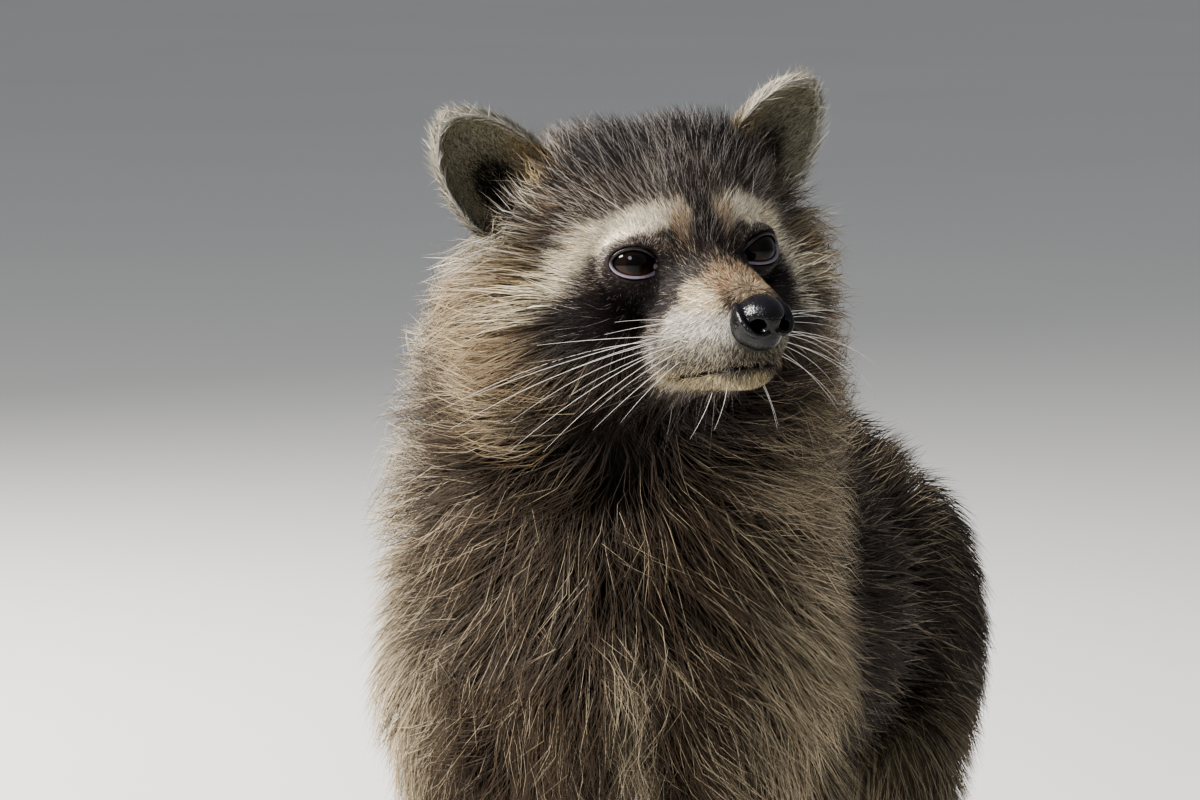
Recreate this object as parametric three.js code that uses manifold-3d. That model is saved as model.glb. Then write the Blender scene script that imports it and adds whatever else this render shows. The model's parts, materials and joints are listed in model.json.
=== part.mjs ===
// A life-size raccoon standing on four legs, its head raised and turned to its left.
//
// Millimetres, +Z up. The animal faces -Y, its left side is +X, and it stands on z = 0.
// Every shape is the outline of the coat: flesh sizes with the depth of the fur added.
// The body is one smooth blend of ellipsoids and tapering limbs. It is meshed region by
// region and parted with thin cuts into the pieces that a person would name.
import * as THREE from "three";
import { mergeVertices } from "three/addons/utils/BufferGeometryUtils.js";
import Module from "manifold-3d";

const wasm = await Module();
wasm.setup();

// ---------------------------------------------------------------- driving dimensions

const GAP = 0.3; // left between neighbouring pieces
const POCKET = 1.04; // size of the pocket that takes a plug, against the plug
const FACET = 1.32; // how far the facets may lie from the true round surface
const SLIVER = 0.08; // surface detail smaller than this is smoothed away after cutting
const BLEND = 16; // how far the swellings of trunk, neck and legs run into each other
const HEAD_BLEND = 9; // the same on the head
const FOOT_BLEND = 7; // the same on the feet

// The head's own frame has its origin between the eyes and ears, -Y out of the nose.
const HEAD_AT = new THREE.Vector3(31, -182, 322);
const HEAD_YAW = 37.2; // turned to the animal's left, in degrees
const HEAD_PITCH = -2.7; // negative lifts the nose
const HEAD_ROLL = -3.9; // negative drops the right ear

const EYE = { x: 23.5, y: -23.5, z: 6, radius: 8.6 };
const NOSE = { y: -74, z: -14.5, width: 22.5, height: 21, depth: 18 };
const EAR = { x: 48.9, y: 17.2, z: 32.1, lean: 39.5, turn: 13.3, rise: 9, taper: 0.15 };
const EAR_HALF = [20.8, 11.4, 30.4]; // half its width, depth and height
const EAR_RIM = 3.5; // thickness of the ear's edge with its short fur
const MOUTH = { y: -34, z: -34.5, slope: -7, height: 12 };

const RUMP_X = 9; // how far the hindquarters stand to the animal's left
const WRIST_Z = 38;
const ANKLE_Z = 46;
const FINGER = { count: 5, spread: 46, length: 21, root: 4.8, tip: 3.6 };
const TOE = { count: 5, spread: 34, length: 23, root: 5.6, tip: 4.3 };
const CLAW = { length: 9, radius: 1.7 };

// The tail's centreline runs back and down from the rump, with flesh radius and coat depth.
const TAIL = [
  { at: [8, 172, 200], flesh: 17, coat: 15 },
  { at: [0, 232, 152], flesh: 12, coat: 24 },
  { at: [-24, 292, 104], flesh: 9, coat: 28 },
  { at: [-54, 350, 74], flesh: 7, coat: 29 },
  { at: [-80, 394, 66], flesh: 4, coat: 21 },
];
const TAIL_CUTS = [0.95, 1.9, 2.9]; // where the tail is parted, in steps along that list

// ---------------------------------------------------------------- materials

const fur = (colour) =>
  new THREE.MeshStandardMaterial({ color: colour, roughness: 0.95, metalness: 0 });
const MATERIALS = {
  grizzled: fur(0x6f6558),
  face: fur(0x8a7c68),
  ruff: fur(0x877862),
  ear: fur(0x8d8b80),
  legs: fur(0x5b5248),
  feet: fur(0x6a6257),
  tail: fur(0x5a5046),
  tailTip: fur(0x1d1917),
  eye: new THREE.MeshStandardMaterial({ color: 0x0c0705, roughness: 0.06, metalness: 0 }),
  nose: new THREE.MeshStandardMaterial({ color: 0x17161a, roughness: 0.35, metalness: 0 }),
};

// ---------------------------------------------------------------- frames

const degrees = THREE.MathUtils.degToRad;

const WORLD = new THREE.Matrix4();
const HEAD = new THREE.Matrix4()
  .makeTranslation(HEAD_AT)
  .multiply(new THREE.Matrix4().makeRotationZ(degrees(HEAD_YAW)))
  .multiply(new THREE.Matrix4().makeRotationX(degrees(HEAD_PITCH)))
  .multiply(new THREE.Matrix4().makeRotationY(degrees(HEAD_ROLL)));

// The frame of an ear: X across it, -Y out of its cup, Z from its root to its tip.
function earFrame(side) {
  return HEAD.clone()
    .multiply(new THREE.Matrix4().makeTranslation(side * EAR.x, EAR.y, EAR.z))
    .multiply(new THREE.Matrix4().makeRotationY(degrees(side * EAR.lean)))
    .multiply(new THREE.Matrix4().makeRotationZ(degrees(side * EAR.turn)));
}

// ---------------------------------------------------------------- soft shapes

// A shape is a signed distance, negative inside, from a point given in the world frame.
const here = new THREE.Vector3();

// An ellipsoid of flesh under a coat of even depth.
function ball(centre, flesh, coat = 0, frame = WORLD) {
  const toLocal = frame.clone().invert();
  const middle = new THREE.Vector3(...centre);
  const radii = new THREE.Vector3(...flesh).addScalar(coat);
  return (point) => {
    here.copy(point).applyMatrix4(toLocal).sub(middle).divide(radii);
    const reach = here.length();
    const slope = here.divide(radii).length();
    return slope > 0 ? (reach * (reach - 1)) / slope : -Math.min(radii.x, radii.y, radii.z);
  };
}

// A round limb that tapers from one joint to the next.
function limb(from, to, fromRadius, toRadius, frame = WORLD) {
  const toLocal = frame.clone().invert();
  const start = new THREE.Vector3(...from);
  const along = new THREE.Vector3(...to).sub(start);
  const offset = new THREE.Vector3();
  return (point) => {
    offset.copy(point).applyMatrix4(toLocal).sub(start);
    const share = THREE.MathUtils.clamp(offset.dot(along) / along.lengthSq(), 0, 1);
    const radius = fromRadius + (toRadius - fromRadius) * share;
    return offset.addScaledVector(along, -share).length() - radius;
  };
}

// The union of shapes, with the creases between them filled to the given width.
function blend(shapes, width) {
  return (point) =>
    shapes.reduce((sum, shape) => {
      const next = shape(point);
      const crease = Math.max(width - Math.abs(sum - next), 0) / width;
      return Math.min(sum, next) - (crease * crease * width) / 4;
    }, 1e3);
}

const bothSides = (make) => [make(-1), make(1)].flat();

// ---------------------------------------------------------------- anatomy

// The hindquarters swing a little to the animal's left, as the head does.
const hip = (side, out) => RUMP_X + side * out;

const TRUNK = [
  ball([0, -66, 172], [58, 92, 60], 24), // ribs
  ball([0, -136, 174], [46, 42, 60], 26), // breast
  ball([RUMP_X / 2, 40, 169], [63, 108, 58], 23), // belly and loin
  ball([RUMP_X, 122, 170], [52, 66, 62], 24), // rump
  ...bothSides((side) => ball([side * 41, -118, 168], [28, 42, 60], 21)), // shoulder
  ...bothSides((side) => ball([hip(side, 53), 112, 150], [27, 50, 56], 16)), // thigh
];

const NECK = [
  ball([2, -132, 235], [61, 50, 52], 28), // neck under its ruff
  ball([5, -120, 278], [60, 42, 48], 22), // nape, under the long hair behind the ears
  ball([4, -76, 238], [44, 56, 40], 24), // withers, where the nape runs down to the back
  ball([0, 32, -42], [50, 36, 26], 26, HEAD), // ruff behind the jaw
];

const FACE = [
  ball([0, 12, 13], [37, 42, 33], 6, HEAD), // cranium
  ...bothSides((side) => ball([side * 19, 14, 16], [26, 34, 31], 8, HEAD)), // crown
  ball([0, -12, 14], [26, 24, 18], 3.5, HEAD), // forehead
  ...bothSides((side) => ball([side * 37, 20, -10], [20, 26, 26], 24, HEAD)), // cheek ruff
  ...bothSides((side) => ball([side * 28, -4, -12], [16, 20, 19], 4, HEAD)), // cheekbone
  limb([0, -22, -4], [0, -64, -13.5], 20, 13, HEAD), // muzzle
  ...bothSides((side) => limb([side * 14, -33, -23.5], [side * 6.5, -62, -20], 10.3, 8.9, HEAD)), // lips
  ...bothSides((side) => limb([side * 9, -22, -31], [side * 3.2, -59.5, -30.5], 12.7, 7.8, HEAD)), // jaw
];

const foreleg = (side) => [
  limb([side * 49, -122, 158], [side * 54, -100, 124], 37, 32),
  limb([side * 54, -100, 124], [side * 49, -121, 42], 27, 15.5),
  limb([side * 49, -121, 42], [side * 49, -130, 14], 15.5, 12.3),
];

const hindleg = (side) => [
  limb([hip(side, 60), 80, 112], [hip(side, 56), 156, 50], 37, 18),
  limb([hip(side, 56), 156, 50], [hip(side, 56), 152, 12.5], 17, 13.7),
];

const feet = (side) => [
  ball([side * 49, -138, 8.5], [14.5, 24, 11], 2), // palm
  limb([hip(side, 56), 151, 11], [hip(side, 62), 100, 9.5], 14.5, 13), // sole
  ball([hip(side, 62), 94, 8.5], [14.8, 22, 11], 2), // ball of the hind foot
];

const tailRadius = (joint) => joint.flesh + joint.coat;
const tail = TAIL.slice(1).map((joint, i) =>
  limb(TAIL[i].at, joint.at, tailRadius(TAIL[i]), tailRadius(joint)),
);

const BODY = [...TRUNK, ...NECK, ...bothSides(foreleg), ...bothSides(hindleg), ...tail];
const body = blend([blend(BODY, BLEND), ...bothSides(feet)], FOOT_BLEND);
const face = blend(FACE, HEAD_BLEND);
const whole = blend([body, face], HEAD_BLEND);

// ---------------------------------------------------------------- meshing

// Grid lines from stops and the steps between them, as [from, step, to, step, to ...].
function lines([from, ...rest]) {
  const found = [from];
  for (let i = 0; i < rest.length; i += 2) {
    const last = found[found.length - 1];
    const count = Math.max(1, Math.round((rest[i + 1] - last) / rest[i]));
    for (let n = 1; n <= count; n++) found.push(last + ((rest[i + 1] - last) * n) / count);
  }
  return found;
}

// The zero surface of a shape on a grid, as one closed mesh: one vertex for each cell
// that the surface crosses, at the mean of its crossings, and one quad for each crossed
// grid edge. The shape ends at the grid's own walls.
function surface(shape, stops, frame = WORLD) {
  const axes = stops.map(lines);
  const size = axes.map((axis) => axis.length);
  const stride = [1, size[0], size[0] * size[1]];
  const point = new THREE.Vector3();
  const value = new Float32Array(size[0] * size[1] * size[2]);
  const onGrid = (i, j, k) => i + j * stride[1] + k * stride[2];
  for (let k = 0; k < size[2]; k++)
    for (let j = 0; j < size[1]; j++)
      for (let i = 0; i < size[0]; i++) {
        const cell = [i, j, k];
        const atWall = cell.some((n, axis) => n === 0 || n === size[axis] - 1);
        point.set(axes[0][i], axes[1][j], axes[2][k]).applyMatrix4(frame);
        const distance = shape(point);
        value[onGrid(i, j, k)] = atWall ? Math.max(distance, 0.5) : distance;
      }

  const vertices = [];
  const vertexOf = new Map();
  function cellVertex(i, j, k) {
    const id = onGrid(i, j, k);
    if (vertexOf.has(id)) return vertexOf.get(id);
    const mean = new THREE.Vector3();
    let crossings = 0;
    for (let axis = 0; axis < 3; axis++)
      for (let corner = 0; corner < 4; corner++) {
        const low = [i, j, k];
        low[(axis + 1) % 3] += corner & 1;
        low[(axis + 2) % 3] += corner >> 1;
        const here0 = value[onGrid(...low)];
        const here1 = value[onGrid(...low) + stride[axis]];
        if (here0 < 0 === here1 < 0) continue;
        const share = here0 / (here0 - here1);
        const at = low.map((n, a) => axes[a][n]);
        at[axis] += share * (axes[axis][low[axis] + 1] - axes[axis][low[axis]]);
        mean.add(new THREE.Vector3(...at));
        crossings++;
      }
    mean.divideScalar(crossings);
    vertexOf.set(id, vertices.length / 3);
    vertices.push(mean.x, mean.y, mean.z);
    return vertexOf.get(id);
  }

  const index = [];
  for (let k = 0; k < size[2] - 1; k++)
    for (let j = 0; j < size[1] - 1; j++)
      for (let i = 0; i < size[0] - 1; i++)
        for (let axis = 0; axis < 3; axis++) {
          const inside = value[onGrid(i, j, k)] < 0;
          if (inside === value[onGrid(i, j, k) + stride[axis]] < 0) continue;
          const across = [(axis + 1) % 3, (axis + 2) % 3];
          const ring = [[0, 0], [1, 0], [1, 1], [0, 1]].map(([a, b]) => {
            const cell = [i, j, k];
            cell[across[0]] -= a;
            cell[across[1]] -= b;
            return cellVertex(...cell);
          });
          if (!inside) ring.reverse();
          index.push(ring[0], ring[1], ring[2], ring[0], ring[2], ring[3]);
        }

  const geometry = new THREE.BufferGeometry()
    .setAttribute("position", new THREE.Float32BufferAttribute(vertices, 3))
    .setIndex(index);
  return geometry.applyMatrix4(frame);
}

// ---------------------------------------------------------------- solids

function solid(geometry) {
  const bare = geometry.clone();
  bare.deleteAttribute("normal");
  bare.deleteAttribute("uv");
  const merged = mergeVertices(bare, 1e-3);
  return new wasm.Manifold(
    new wasm.Mesh({
      numProp: 3,
      vertProperties: new Float32Array(merged.attributes.position.array),
      triVerts: new Uint32Array(merged.index.array),
    }),
  );
}

// The main body of a cut piece, without slivers.
function largest(made) {
  const bodies = made.decompose().sort((a, b) => b.volume() - a.volume());
  return bodies[0].simplify(SLIVER);
}

const joined = (solids) => solids.reduce((sum, next) => sum.add(next));

// A stretch of coat as a solid, with no more facets than its roundness needs.
const coat = (shape, stops, frame) => solid(surface(shape, stops, frame)).simplify(FACET);

// A plug and the slightly larger pocket that takes it.
function pocket(geometry) {
  const centre = new THREE.Box3().setFromBufferAttribute(geometry.attributes.position)
    .getCenter(new THREE.Vector3());
  const grown = geometry.clone().translate(...centre.clone().negate().toArray())
    .scale(POCKET, POCKET, POCKET)
    .translate(...centre.toArray());
  return solid(grown);
}

// A box whose middle, size and frame are given, as a cutting tool.
function block(middle, size, frame = WORLD) {
  const geometry = new THREE.BoxGeometry(...size).translate(...middle);
  return solid(geometry.applyMatrix4(frame));
}

// A sphere pulled out to an ellipsoid.
function egg(middle, radii, frame = WORLD, rings = 10) {
  const geometry = new THREE.SphereGeometry(1, rings, rings * 0.75)
    .scale(...radii)
    .translate(...middle);
  return solid(geometry.applyMatrix4(frame));
}

// An oval column that tapers a little upwards, as a cutting tool.
function column([x, y], [low, high], [radiusX, radiusY]) {
  const geometry = new THREE.CylinderGeometry(0.92, 1, high - low, 10)
    .rotateX(Math.PI / 2)
    .scale(radiusX, radiusY, 1)
    .translate(x, y, (low + high) / 2);
  return solid(geometry);
}

const FLOOR_CUT = block([0, 0, 250], [1500, 1500, 500]);

// ---------------------------------------------------------------- head

const FACE_GRID = [
  [-93, 15.5, -32, 8.6, 32, 15.5, 93],
  [-94, 8.8, -30, 17, 80],
  [-80, 15, -42, 8.6, 22, 13, 72],
];

// The head ends in a smooth shell behind the cheeks, which the neck wraps round.
const HEAD_SHELL = { middle: [0, -22, 8], radii: [104, 92, 74] };

function headShell(extra) {
  return egg(HEAD_SHELL.middle, HEAD_SHELL.radii.map((r) => r + extra), HEAD, 13);
}

function jawTool(extra) {
  const frame = HEAD.clone()
    .multiply(new THREE.Matrix4().makeTranslation(0, MOUTH.y, MOUTH.z))
    .multiply(new THREE.Matrix4().makeRotationX(degrees(MOUTH.slope)));
  const size = [70, 70, MOUTH.height];
  return block([0, -size[1] / 2, -size[2] / 2], size.map((s) => s + 2 * extra), frame);
}

function eyeSolid(side, extra) {
  const radius = EYE.radius + extra;
  return egg([side * EYE.x, EYE.y, EYE.z], [radius, radius, radius], HEAD, 10);
}

// The bare nose pad, flattened in front, with a nostril on each side.
const nosePad = new THREE.SphereGeometry(1, 10, 8)
  .scale(NOSE.width / 2, NOSE.depth / 2, NOSE.height / 2)
  .translate(0, NOSE.y, NOSE.z)
  .applyMatrix4(HEAD);

function noseSolid() {
  const tip = NOSE.y - NOSE.depth / 2;
  const behindTip = block([0, tip + 21.6, NOSE.z], [60, 40, 60], HEAD);
  const nostrils = bothSides((side) =>
    egg([side * 5.6, tip + 3, NOSE.z - 1.5], [2.4, 5, 3], HEAD, 6),
  );
  return largest(solid(nosePad).intersect(behindTip).subtract(joined(nostrils)));
}

// The ear is a flattened egg, narrower above, hollowed into a cup that opens forward.
function earShape(side, half, forward, rings) {
  const geometry = new THREE.SphereGeometry(1, rings, rings - 4).rotateX(Math.PI / 2);
  const place = geometry.attributes.position;
  for (let i = 0; i < place.count; i++) {
    const narrow = 1 - EAR.taper * place.getZ(i);
    place.setXYZ(i, place.getX(i) * narrow, place.getY(i) * narrow, place.getZ(i));
  }
  return geometry
    .scale(...half)
    .translate(0, -forward, EAR.rise)
    .applyMatrix4(earFrame(side));
}

function earSolid(side) {
  const cup = earShape(side, EAR_HALF.map((half) => half - EAR_RIM), EAR_RIM + 3, 11);
  return largest(solid(earShape(side, EAR_HALF, 0, 14)).subtract(solid(cup)));
}

function headSolids() {
  const skull = coat(whole, FACE_GRID, HEAD).intersect(headShell(0));
  const eyes = bothSides((side) => eyeSolid(side, GAP));
  const ears = bothSides((side) => pocket(earShape(side, EAR_HALF, 0, 14)));
  const around = skull.subtract(joined([...eyes, ...ears, pocket(nosePad)]));
  return {
    head: largest(around.subtract(jawTool(GAP))),
    lower_jaw: largest(around.intersect(jawTool(-GAP))),
    nose: noseSolid(),
    ear_left: earSolid(1),
    ear_right: earSolid(-1),
    eye_left: eyeSolid(1, 0),
    eye_right: eyeSolid(-1, 0),
  };
}

// ---------------------------------------------------------------- neck, trunk and legs

// The neck is parted from the trunk by a plane that slopes from the withers to the breast.
function neckTool(extra) {
  const frame = new THREE.Matrix4()
    .makeTranslation(0, -118, 232 - extra)
    .multiply(new THREE.Matrix4().makeRotationX(degrees(28)));
  return block([0, 0, 150], [400, 400, 300], frame);
}

function neckSolid() {
  const grid = [[-116, 24, 120], [-240, 24, 0], [150, 24, 400]];
  const all = coat(whole, grid);
  return largest(all.intersect(neckTool(0)).subtract(headShell(GAP)));
}

// A foreleg takes the shoulder with it, and a hind leg the thigh.
function forelegTool(side, extra) {
  const shoulder = egg([side * 67, -118, 158], [46 + extra, 46 + extra, 60 + extra]);
  const arm = column([side * 56, -114], [-20, 150], [43 + extra, 45 + extra]);
  return shoulder.add(arm);
}

function hindlegTool(side, extra) {
  const thigh = egg([hip(side, 74), 108, 140], [46 + extra, 58 + extra, 60 + extra]);
  const shank = column([hip(side, 62), 116], [-20, 128], [50 + extra, 68 + extra]);
  return thigh.add(shank);
}

// Fingers or toes fanned from the ball of the foot, each with its claw.
function digits(side, root, size, aim) {
  const made = [];
  for (let n = 0; n < size.count; n++) {
    const share = n / (size.count - 1) - 0.5;
    const angle = degrees(share * size.spread + side * aim);
    const outward = new THREE.Vector3(Math.sin(angle), -Math.cos(angle), 0);
    const length = size.length * (1 - 0.9 * share * share);
    const from = new THREE.Vector3(...root).addScaledVector(outward, 8);
    const to = from.clone().addScaledVector(outward, length);
    to.z = size.tip - 0.6;
    const middle = from.clone().lerp(to, 0.5);
    const turn = new THREE.Quaternion().setFromUnitVectors(
      new THREE.Vector3(0, 1, 0),
      to.clone().sub(from).normalize(),
    );
    const finger = new THREE.CapsuleGeometry(size.root, length, 1, 5)
      .applyQuaternion(turn)
      .translate(middle.x, middle.y, middle.z);
    const claw = new THREE.ConeGeometry(CLAW.radius, CLAW.length, 4)
      .applyQuaternion(turn)
      .translate(to.x + outward.x * 6.5, to.y + outward.y * 6.5, to.z);
    made.push(solid(finger), solid(claw));
  }
  return joined(made);
}

function forelegSolids(side, name) {
  const [low, high] = [side * 2, side * 106].sort((a, b) => a - b);
  const leg = coat(whole, [[low, 17, high], [-186, 17, -46], [-16, 19, 240]]);
  const paw = coat(whole, [[low, 12, high], [-188, 12, -88], [-14, 11, 54]]);
  const tool = forelegTool(side, 0);
  const fingers = digits(side, [side * 49, -146, 7], FINGER, 4);
  const above = block([0, 0, WRIST_Z + GAP + 200], [800, 800, 400]);
  const below = block([0, 0, WRIST_Z - 200], [800, 800, 400]);
  return {
    [`foreleg_${name}`]: largest(leg.intersect(tool).intersect(above).subtract(neckTool(GAP))),
    [`forepaw_${name}`]: largest(paw.intersect(below).add(fingers).intersect(FLOOR_CUT)),
  };
}

function hindlegSolids(side, name) {
  const [low, high] = [hip(side, 2), hip(side, 116)].sort((a, b) => a - b);
  const leg = coat(whole, [[low, 19, high], [30, 18, 212], [-12, 18, 226]]);
  const foot = coat(whole, [[low, 15, high], [50, 17, 204], [-14, 12, 66]]);
  const tool = hindlegTool(side, 0);
  const toes = digits(side, [hip(side, 62), 88, 7], TOE, 5);
  const above = block([0, 0, ANKLE_Z + GAP + 200], [800, 800, 400]);
  const below = block([0, 0, ANKLE_Z - 200], [800, 800, 400]);
  return {
    [`hindleg_${name}`]: largest(leg.intersect(tool).intersect(above)),
    [`hindfoot_${name}`]: largest(foot.intersect(below).add(toes).intersect(FLOOR_CUT)),
  };
}

function trunkSolid() {
  const grid = [[-118, 30, 128], [-240, 30, 270], [60, 27, 300]];
  const all = coat(whole, grid);
  const legs = bothSides((side) => [forelegTool(side, GAP), hindlegTool(side, GAP)]);
  return largest(all.subtract(joined(legs)).subtract(neckTool(GAP)).subtract(tailTool(TAIL_CUTS[0], 0)));
}

// ---------------------------------------------------------------- tail

// The half space behind a plane across the tail, at a place counted in joints.
function tailTool(place, extra) {
  const step = Math.min(Math.floor(place), TAIL.length - 2);
  const from = new THREE.Vector3(...TAIL[step].at);
  const to = new THREE.Vector3(...TAIL[step + 1].at);
  const along = to.clone().sub(from).normalize();
  const at = from.lerp(to, place - step).addScaledVector(along, extra);
  const turn = new THREE.Quaternion().setFromUnitVectors(new THREE.Vector3(0, 1, 0), along);
  const geometry = new THREE.BoxGeometry(260, 500, 260)
    .translate(0, 250, 0)
    .applyQuaternion(turn)
    .translate(at.x, at.y, at.z);
  return solid(geometry);
}

function tailSolids() {
  const grid = [[-124, 20, 58], [130, 20, 436], [16, 20, 252]];
  const all = coat(whole, grid);
  const names = ["tail_base", "tail_middle", "tail_tip"];
  const pieces = {};
  TAIL_CUTS.forEach((place, n) => {
    const piece = all.intersect(tailTool(place, GAP));
    const next = TAIL_CUTS[n + 1];
    pieces[names[n]] = largest(next ? piece.subtract(tailTool(next, 0)) : piece);
  });
  return pieces;
}

// ---------------------------------------------------------------- the animal

const solids = {
  ...headSolids(),
  neck: neckSolid(),
  trunk: trunkSolid(),
  ...forelegSolids(1, "left"),
  ...forelegSolids(-1, "right"),
  ...hindlegSolids(1, "left"),
  ...hindlegSolids(-1, "right"),
  ...tailSolids(),
};

const LOOKS = {
  head: "face", lower_jaw: "face", nose: "nose", neck: "ruff", trunk: "grizzled",
  ear_left: "ear", ear_right: "ear", eye_left: "eye", eye_right: "eye",
  foreleg_left: "legs", foreleg_right: "legs", hindleg_left: "legs", hindleg_right: "legs",
  forepaw_left: "feet", forepaw_right: "feet", hindfoot_left: "feet", hindfoot_right: "feet",
  tail_base: "tail", tail_middle: "tail", tail_tip: "tailTip",
};

const raccoon = new THREE.Group();
for (const [name, made] of Object.entries(solids)) {
  const { vertProperties, triVerts } = made.getMesh();
  const geometry = new THREE.BufferGeometry()
    .setAttribute("position", new THREE.BufferAttribute(vertProperties, 3))
    .setIndex(new THREE.BufferAttribute(triVerts, 1));
  const mesh = new THREE.Mesh(geometry, MATERIALS[LOOKS[name]]);
  mesh.name = name;
  raccoon.add(mesh);
}

// The origin is on the floor under the middle of the animal's box.
const box = new THREE.Box3().setFromObject(raccoon);
const middle = box.getCenter(new THREE.Vector3());
raccoon.position.set(-middle.x, -middle.y, 0);

export default raccoon;
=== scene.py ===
"""A life-size raccoon: one skin, its coat in tufts, its eyes, nose, lids, claws and whiskers.

Sizes are millimetres in the animal's own frame, which the CAD model shares: it faces -Y, its
left side is +X and it stands on z = 0. They turn into metres, and into the row's place, only
when a mesh is made.
"""

import json
import math
from dataclasses import dataclass

import bpy
import numpy as np
from mathutils import Matrix, Vector
from mathutils.kdtree import KDTree

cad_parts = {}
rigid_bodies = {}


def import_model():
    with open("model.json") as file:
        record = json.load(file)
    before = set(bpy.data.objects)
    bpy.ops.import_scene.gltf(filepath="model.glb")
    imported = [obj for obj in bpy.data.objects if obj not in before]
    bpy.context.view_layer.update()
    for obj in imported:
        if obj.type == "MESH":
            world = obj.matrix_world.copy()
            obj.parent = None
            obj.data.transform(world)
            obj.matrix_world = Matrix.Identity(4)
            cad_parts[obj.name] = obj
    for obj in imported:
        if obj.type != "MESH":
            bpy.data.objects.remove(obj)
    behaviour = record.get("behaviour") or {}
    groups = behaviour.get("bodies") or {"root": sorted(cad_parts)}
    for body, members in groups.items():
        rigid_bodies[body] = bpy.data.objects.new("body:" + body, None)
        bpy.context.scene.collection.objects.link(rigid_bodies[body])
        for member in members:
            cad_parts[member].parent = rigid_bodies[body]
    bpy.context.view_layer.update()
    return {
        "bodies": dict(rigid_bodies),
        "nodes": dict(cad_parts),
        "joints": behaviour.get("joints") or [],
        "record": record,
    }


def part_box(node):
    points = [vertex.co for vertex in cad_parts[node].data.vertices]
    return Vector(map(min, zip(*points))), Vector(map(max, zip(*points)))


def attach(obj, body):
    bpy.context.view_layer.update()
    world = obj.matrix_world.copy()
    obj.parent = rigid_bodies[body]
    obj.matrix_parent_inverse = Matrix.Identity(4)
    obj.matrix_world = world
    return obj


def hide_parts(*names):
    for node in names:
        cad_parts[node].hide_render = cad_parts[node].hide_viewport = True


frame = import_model()

MM = 0.001
RANDOM = np.random.default_rng(7)
X, Y, Z = range(3)
SIDES = (-1, 1)  # the animal's right and its left

# ---------------------------------------------------------------- frames


def turn(axis, degrees):
    """The matrix of a turn about one axis."""
    c, s = math.cos(math.radians(degrees)), math.sin(math.radians(degrees))
    a, b = (axis + 1) % 3, (axis + 2) % 3
    matrix = np.eye(3)
    matrix[a, a], matrix[b, b] = c, c
    matrix[a, b], matrix[b, a] = -s, s
    return matrix


def aimed(across, height):
    """The direction that lies so far from -Y, in radians: towards +X, then up."""
    return np.stack([
        np.sin(across) * np.cos(height), -np.cos(across) * np.cos(height), np.sin(height)
    ], axis=-1)


class Frame:
    """An origin and three axes, which are the columns of a matrix."""

    def __init__(self, origin=(0, 0, 0), axes=None):
        self.origin = np.array(origin, float)
        self.axes = np.eye(3) if axes is None else axes

    def local(self, points):
        return (points - self.origin) @ self.axes

    def world(self, points):
        return self.origin + np.asarray(points, float) @ self.axes.T

    def direction(self, vectors):
        return np.asarray(vectors, float) @ self.axes.T

    def child(self, origin, axes):
        return Frame(self.world(origin), self.axes @ axes)


BODY = Frame()
HEAD = Frame((31, -182, 322), turn(Z, 37.2) @ turn(X, -2.7) @ turn(Y, -3.9))

EYE = np.array([23.5, -23.5, 6.0])
EYE_RADIUS = 8.6
GAZE_OUT = 17  # how far each eye looks to its own side, in degrees
LID_TILT = 6  # the outer corner of the eye is the higher one

EAR = {"at": (48.9, 17.2, 32.1), "lean": 39.5, "turn": 13.3, "rise": 9, "taper": 0.15}
EAR_HALF = np.array([18.6, 9.4, 28.3])
EAR_WALL = 1.6
EAR_OPEN = 1.6  # how much farther forward than its wall the ear's hollow lies
EAR_REACH = 34  # no part of an ear is farther from its middle

NOSE = np.array([0, -74.8, -15.2])
NOSE_HALF = np.array([10.8, 8.8, 10.3])
NOSE_FRAME = HEAD.child(NOSE, turn(Z, 6))
NOSE_SCALE = 0.94

RUMP_X = 9  # the hindquarters stand this far to the left of the forequarters


def eye_frame(side):
    """The frame of an eye: -Y is where it looks, X runs along the gap between its lids."""
    axes = turn(Z, side * GAZE_OUT) @ turn(Y, -side * LID_TILT)
    return HEAD.child(EYE * (side, 1, 1), axes)


EYES = [eye_frame(side) for side in SIDES]


def middle_of(node):
    low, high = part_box(node)
    return (np.array(low) + np.array(high)) / 2


# The CAD model's eyes say where the animal's own frame lies in the row's.
SHIFT = sum(middle_of(f"eye_{name}") for name in ("left", "right")) / 2
SHIFT = SHIFT - HEAD.world(EYE * (0, 1, 1)) * MM
SHIFT[2] = 0


def metres(points):
    return np.asarray(points) * MM + SHIFT


# ---------------------------------------------------------------- soft shapes


def step_up(value, low, high):
    """A smooth step from 0, where a value is at its low mark, to 1 at its high one."""
    share = np.clip((value - low) / (high - low), 0, 1)
    return share * share * (3 - 2 * share)


def unit(vectors):
    return vectors / np.maximum(np.linalg.norm(vectors, axis=-1, keepdims=True), 1e-9)


def soft_min(a, b, width):
    """The lower of two distances, with the crease between them filled over a width."""
    crease = np.maximum(width - np.abs(a - b), 0) / width
    return np.minimum(a, b) - crease * crease * width / 4


def soft_max(a, b, width):
    return -soft_min(-a, -b, width)


def to_ellipsoid(points, radii):
    """The distance from an ellipsoid round the origin, nearly true close to its surface."""
    scaled = points / radii
    reach = np.maximum(np.linalg.norm(scaled, axis=1), 1e-4)
    slope = np.linalg.norm(scaled / radii, axis=1)
    return reach * (reach - 1) / np.maximum(slope, reach / np.max(radii))


class Ball:
    """An ellipsoid of flesh, with the depth of the coat on it and the coat's lie."""

    def __init__(self, centre, radii, coat, lie, frame=BODY):
        self.centre, self.radii = np.array(centre, float), np.array(radii, float)
        self.coat, self.lie, self.frame = coat, lie, frame
        reach = np.linalg.norm(frame.axes * self.radii, axis=1)
        middle = frame.world(self.centre)
        self.low, self.high = middle - reach, middle + reach

    def distance(self, points):
        return to_ellipsoid(self.frame.local(points) - self.centre, self.radii)

    def depth(self, points):
        return np.full(len(points), float(self.coat))


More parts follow.
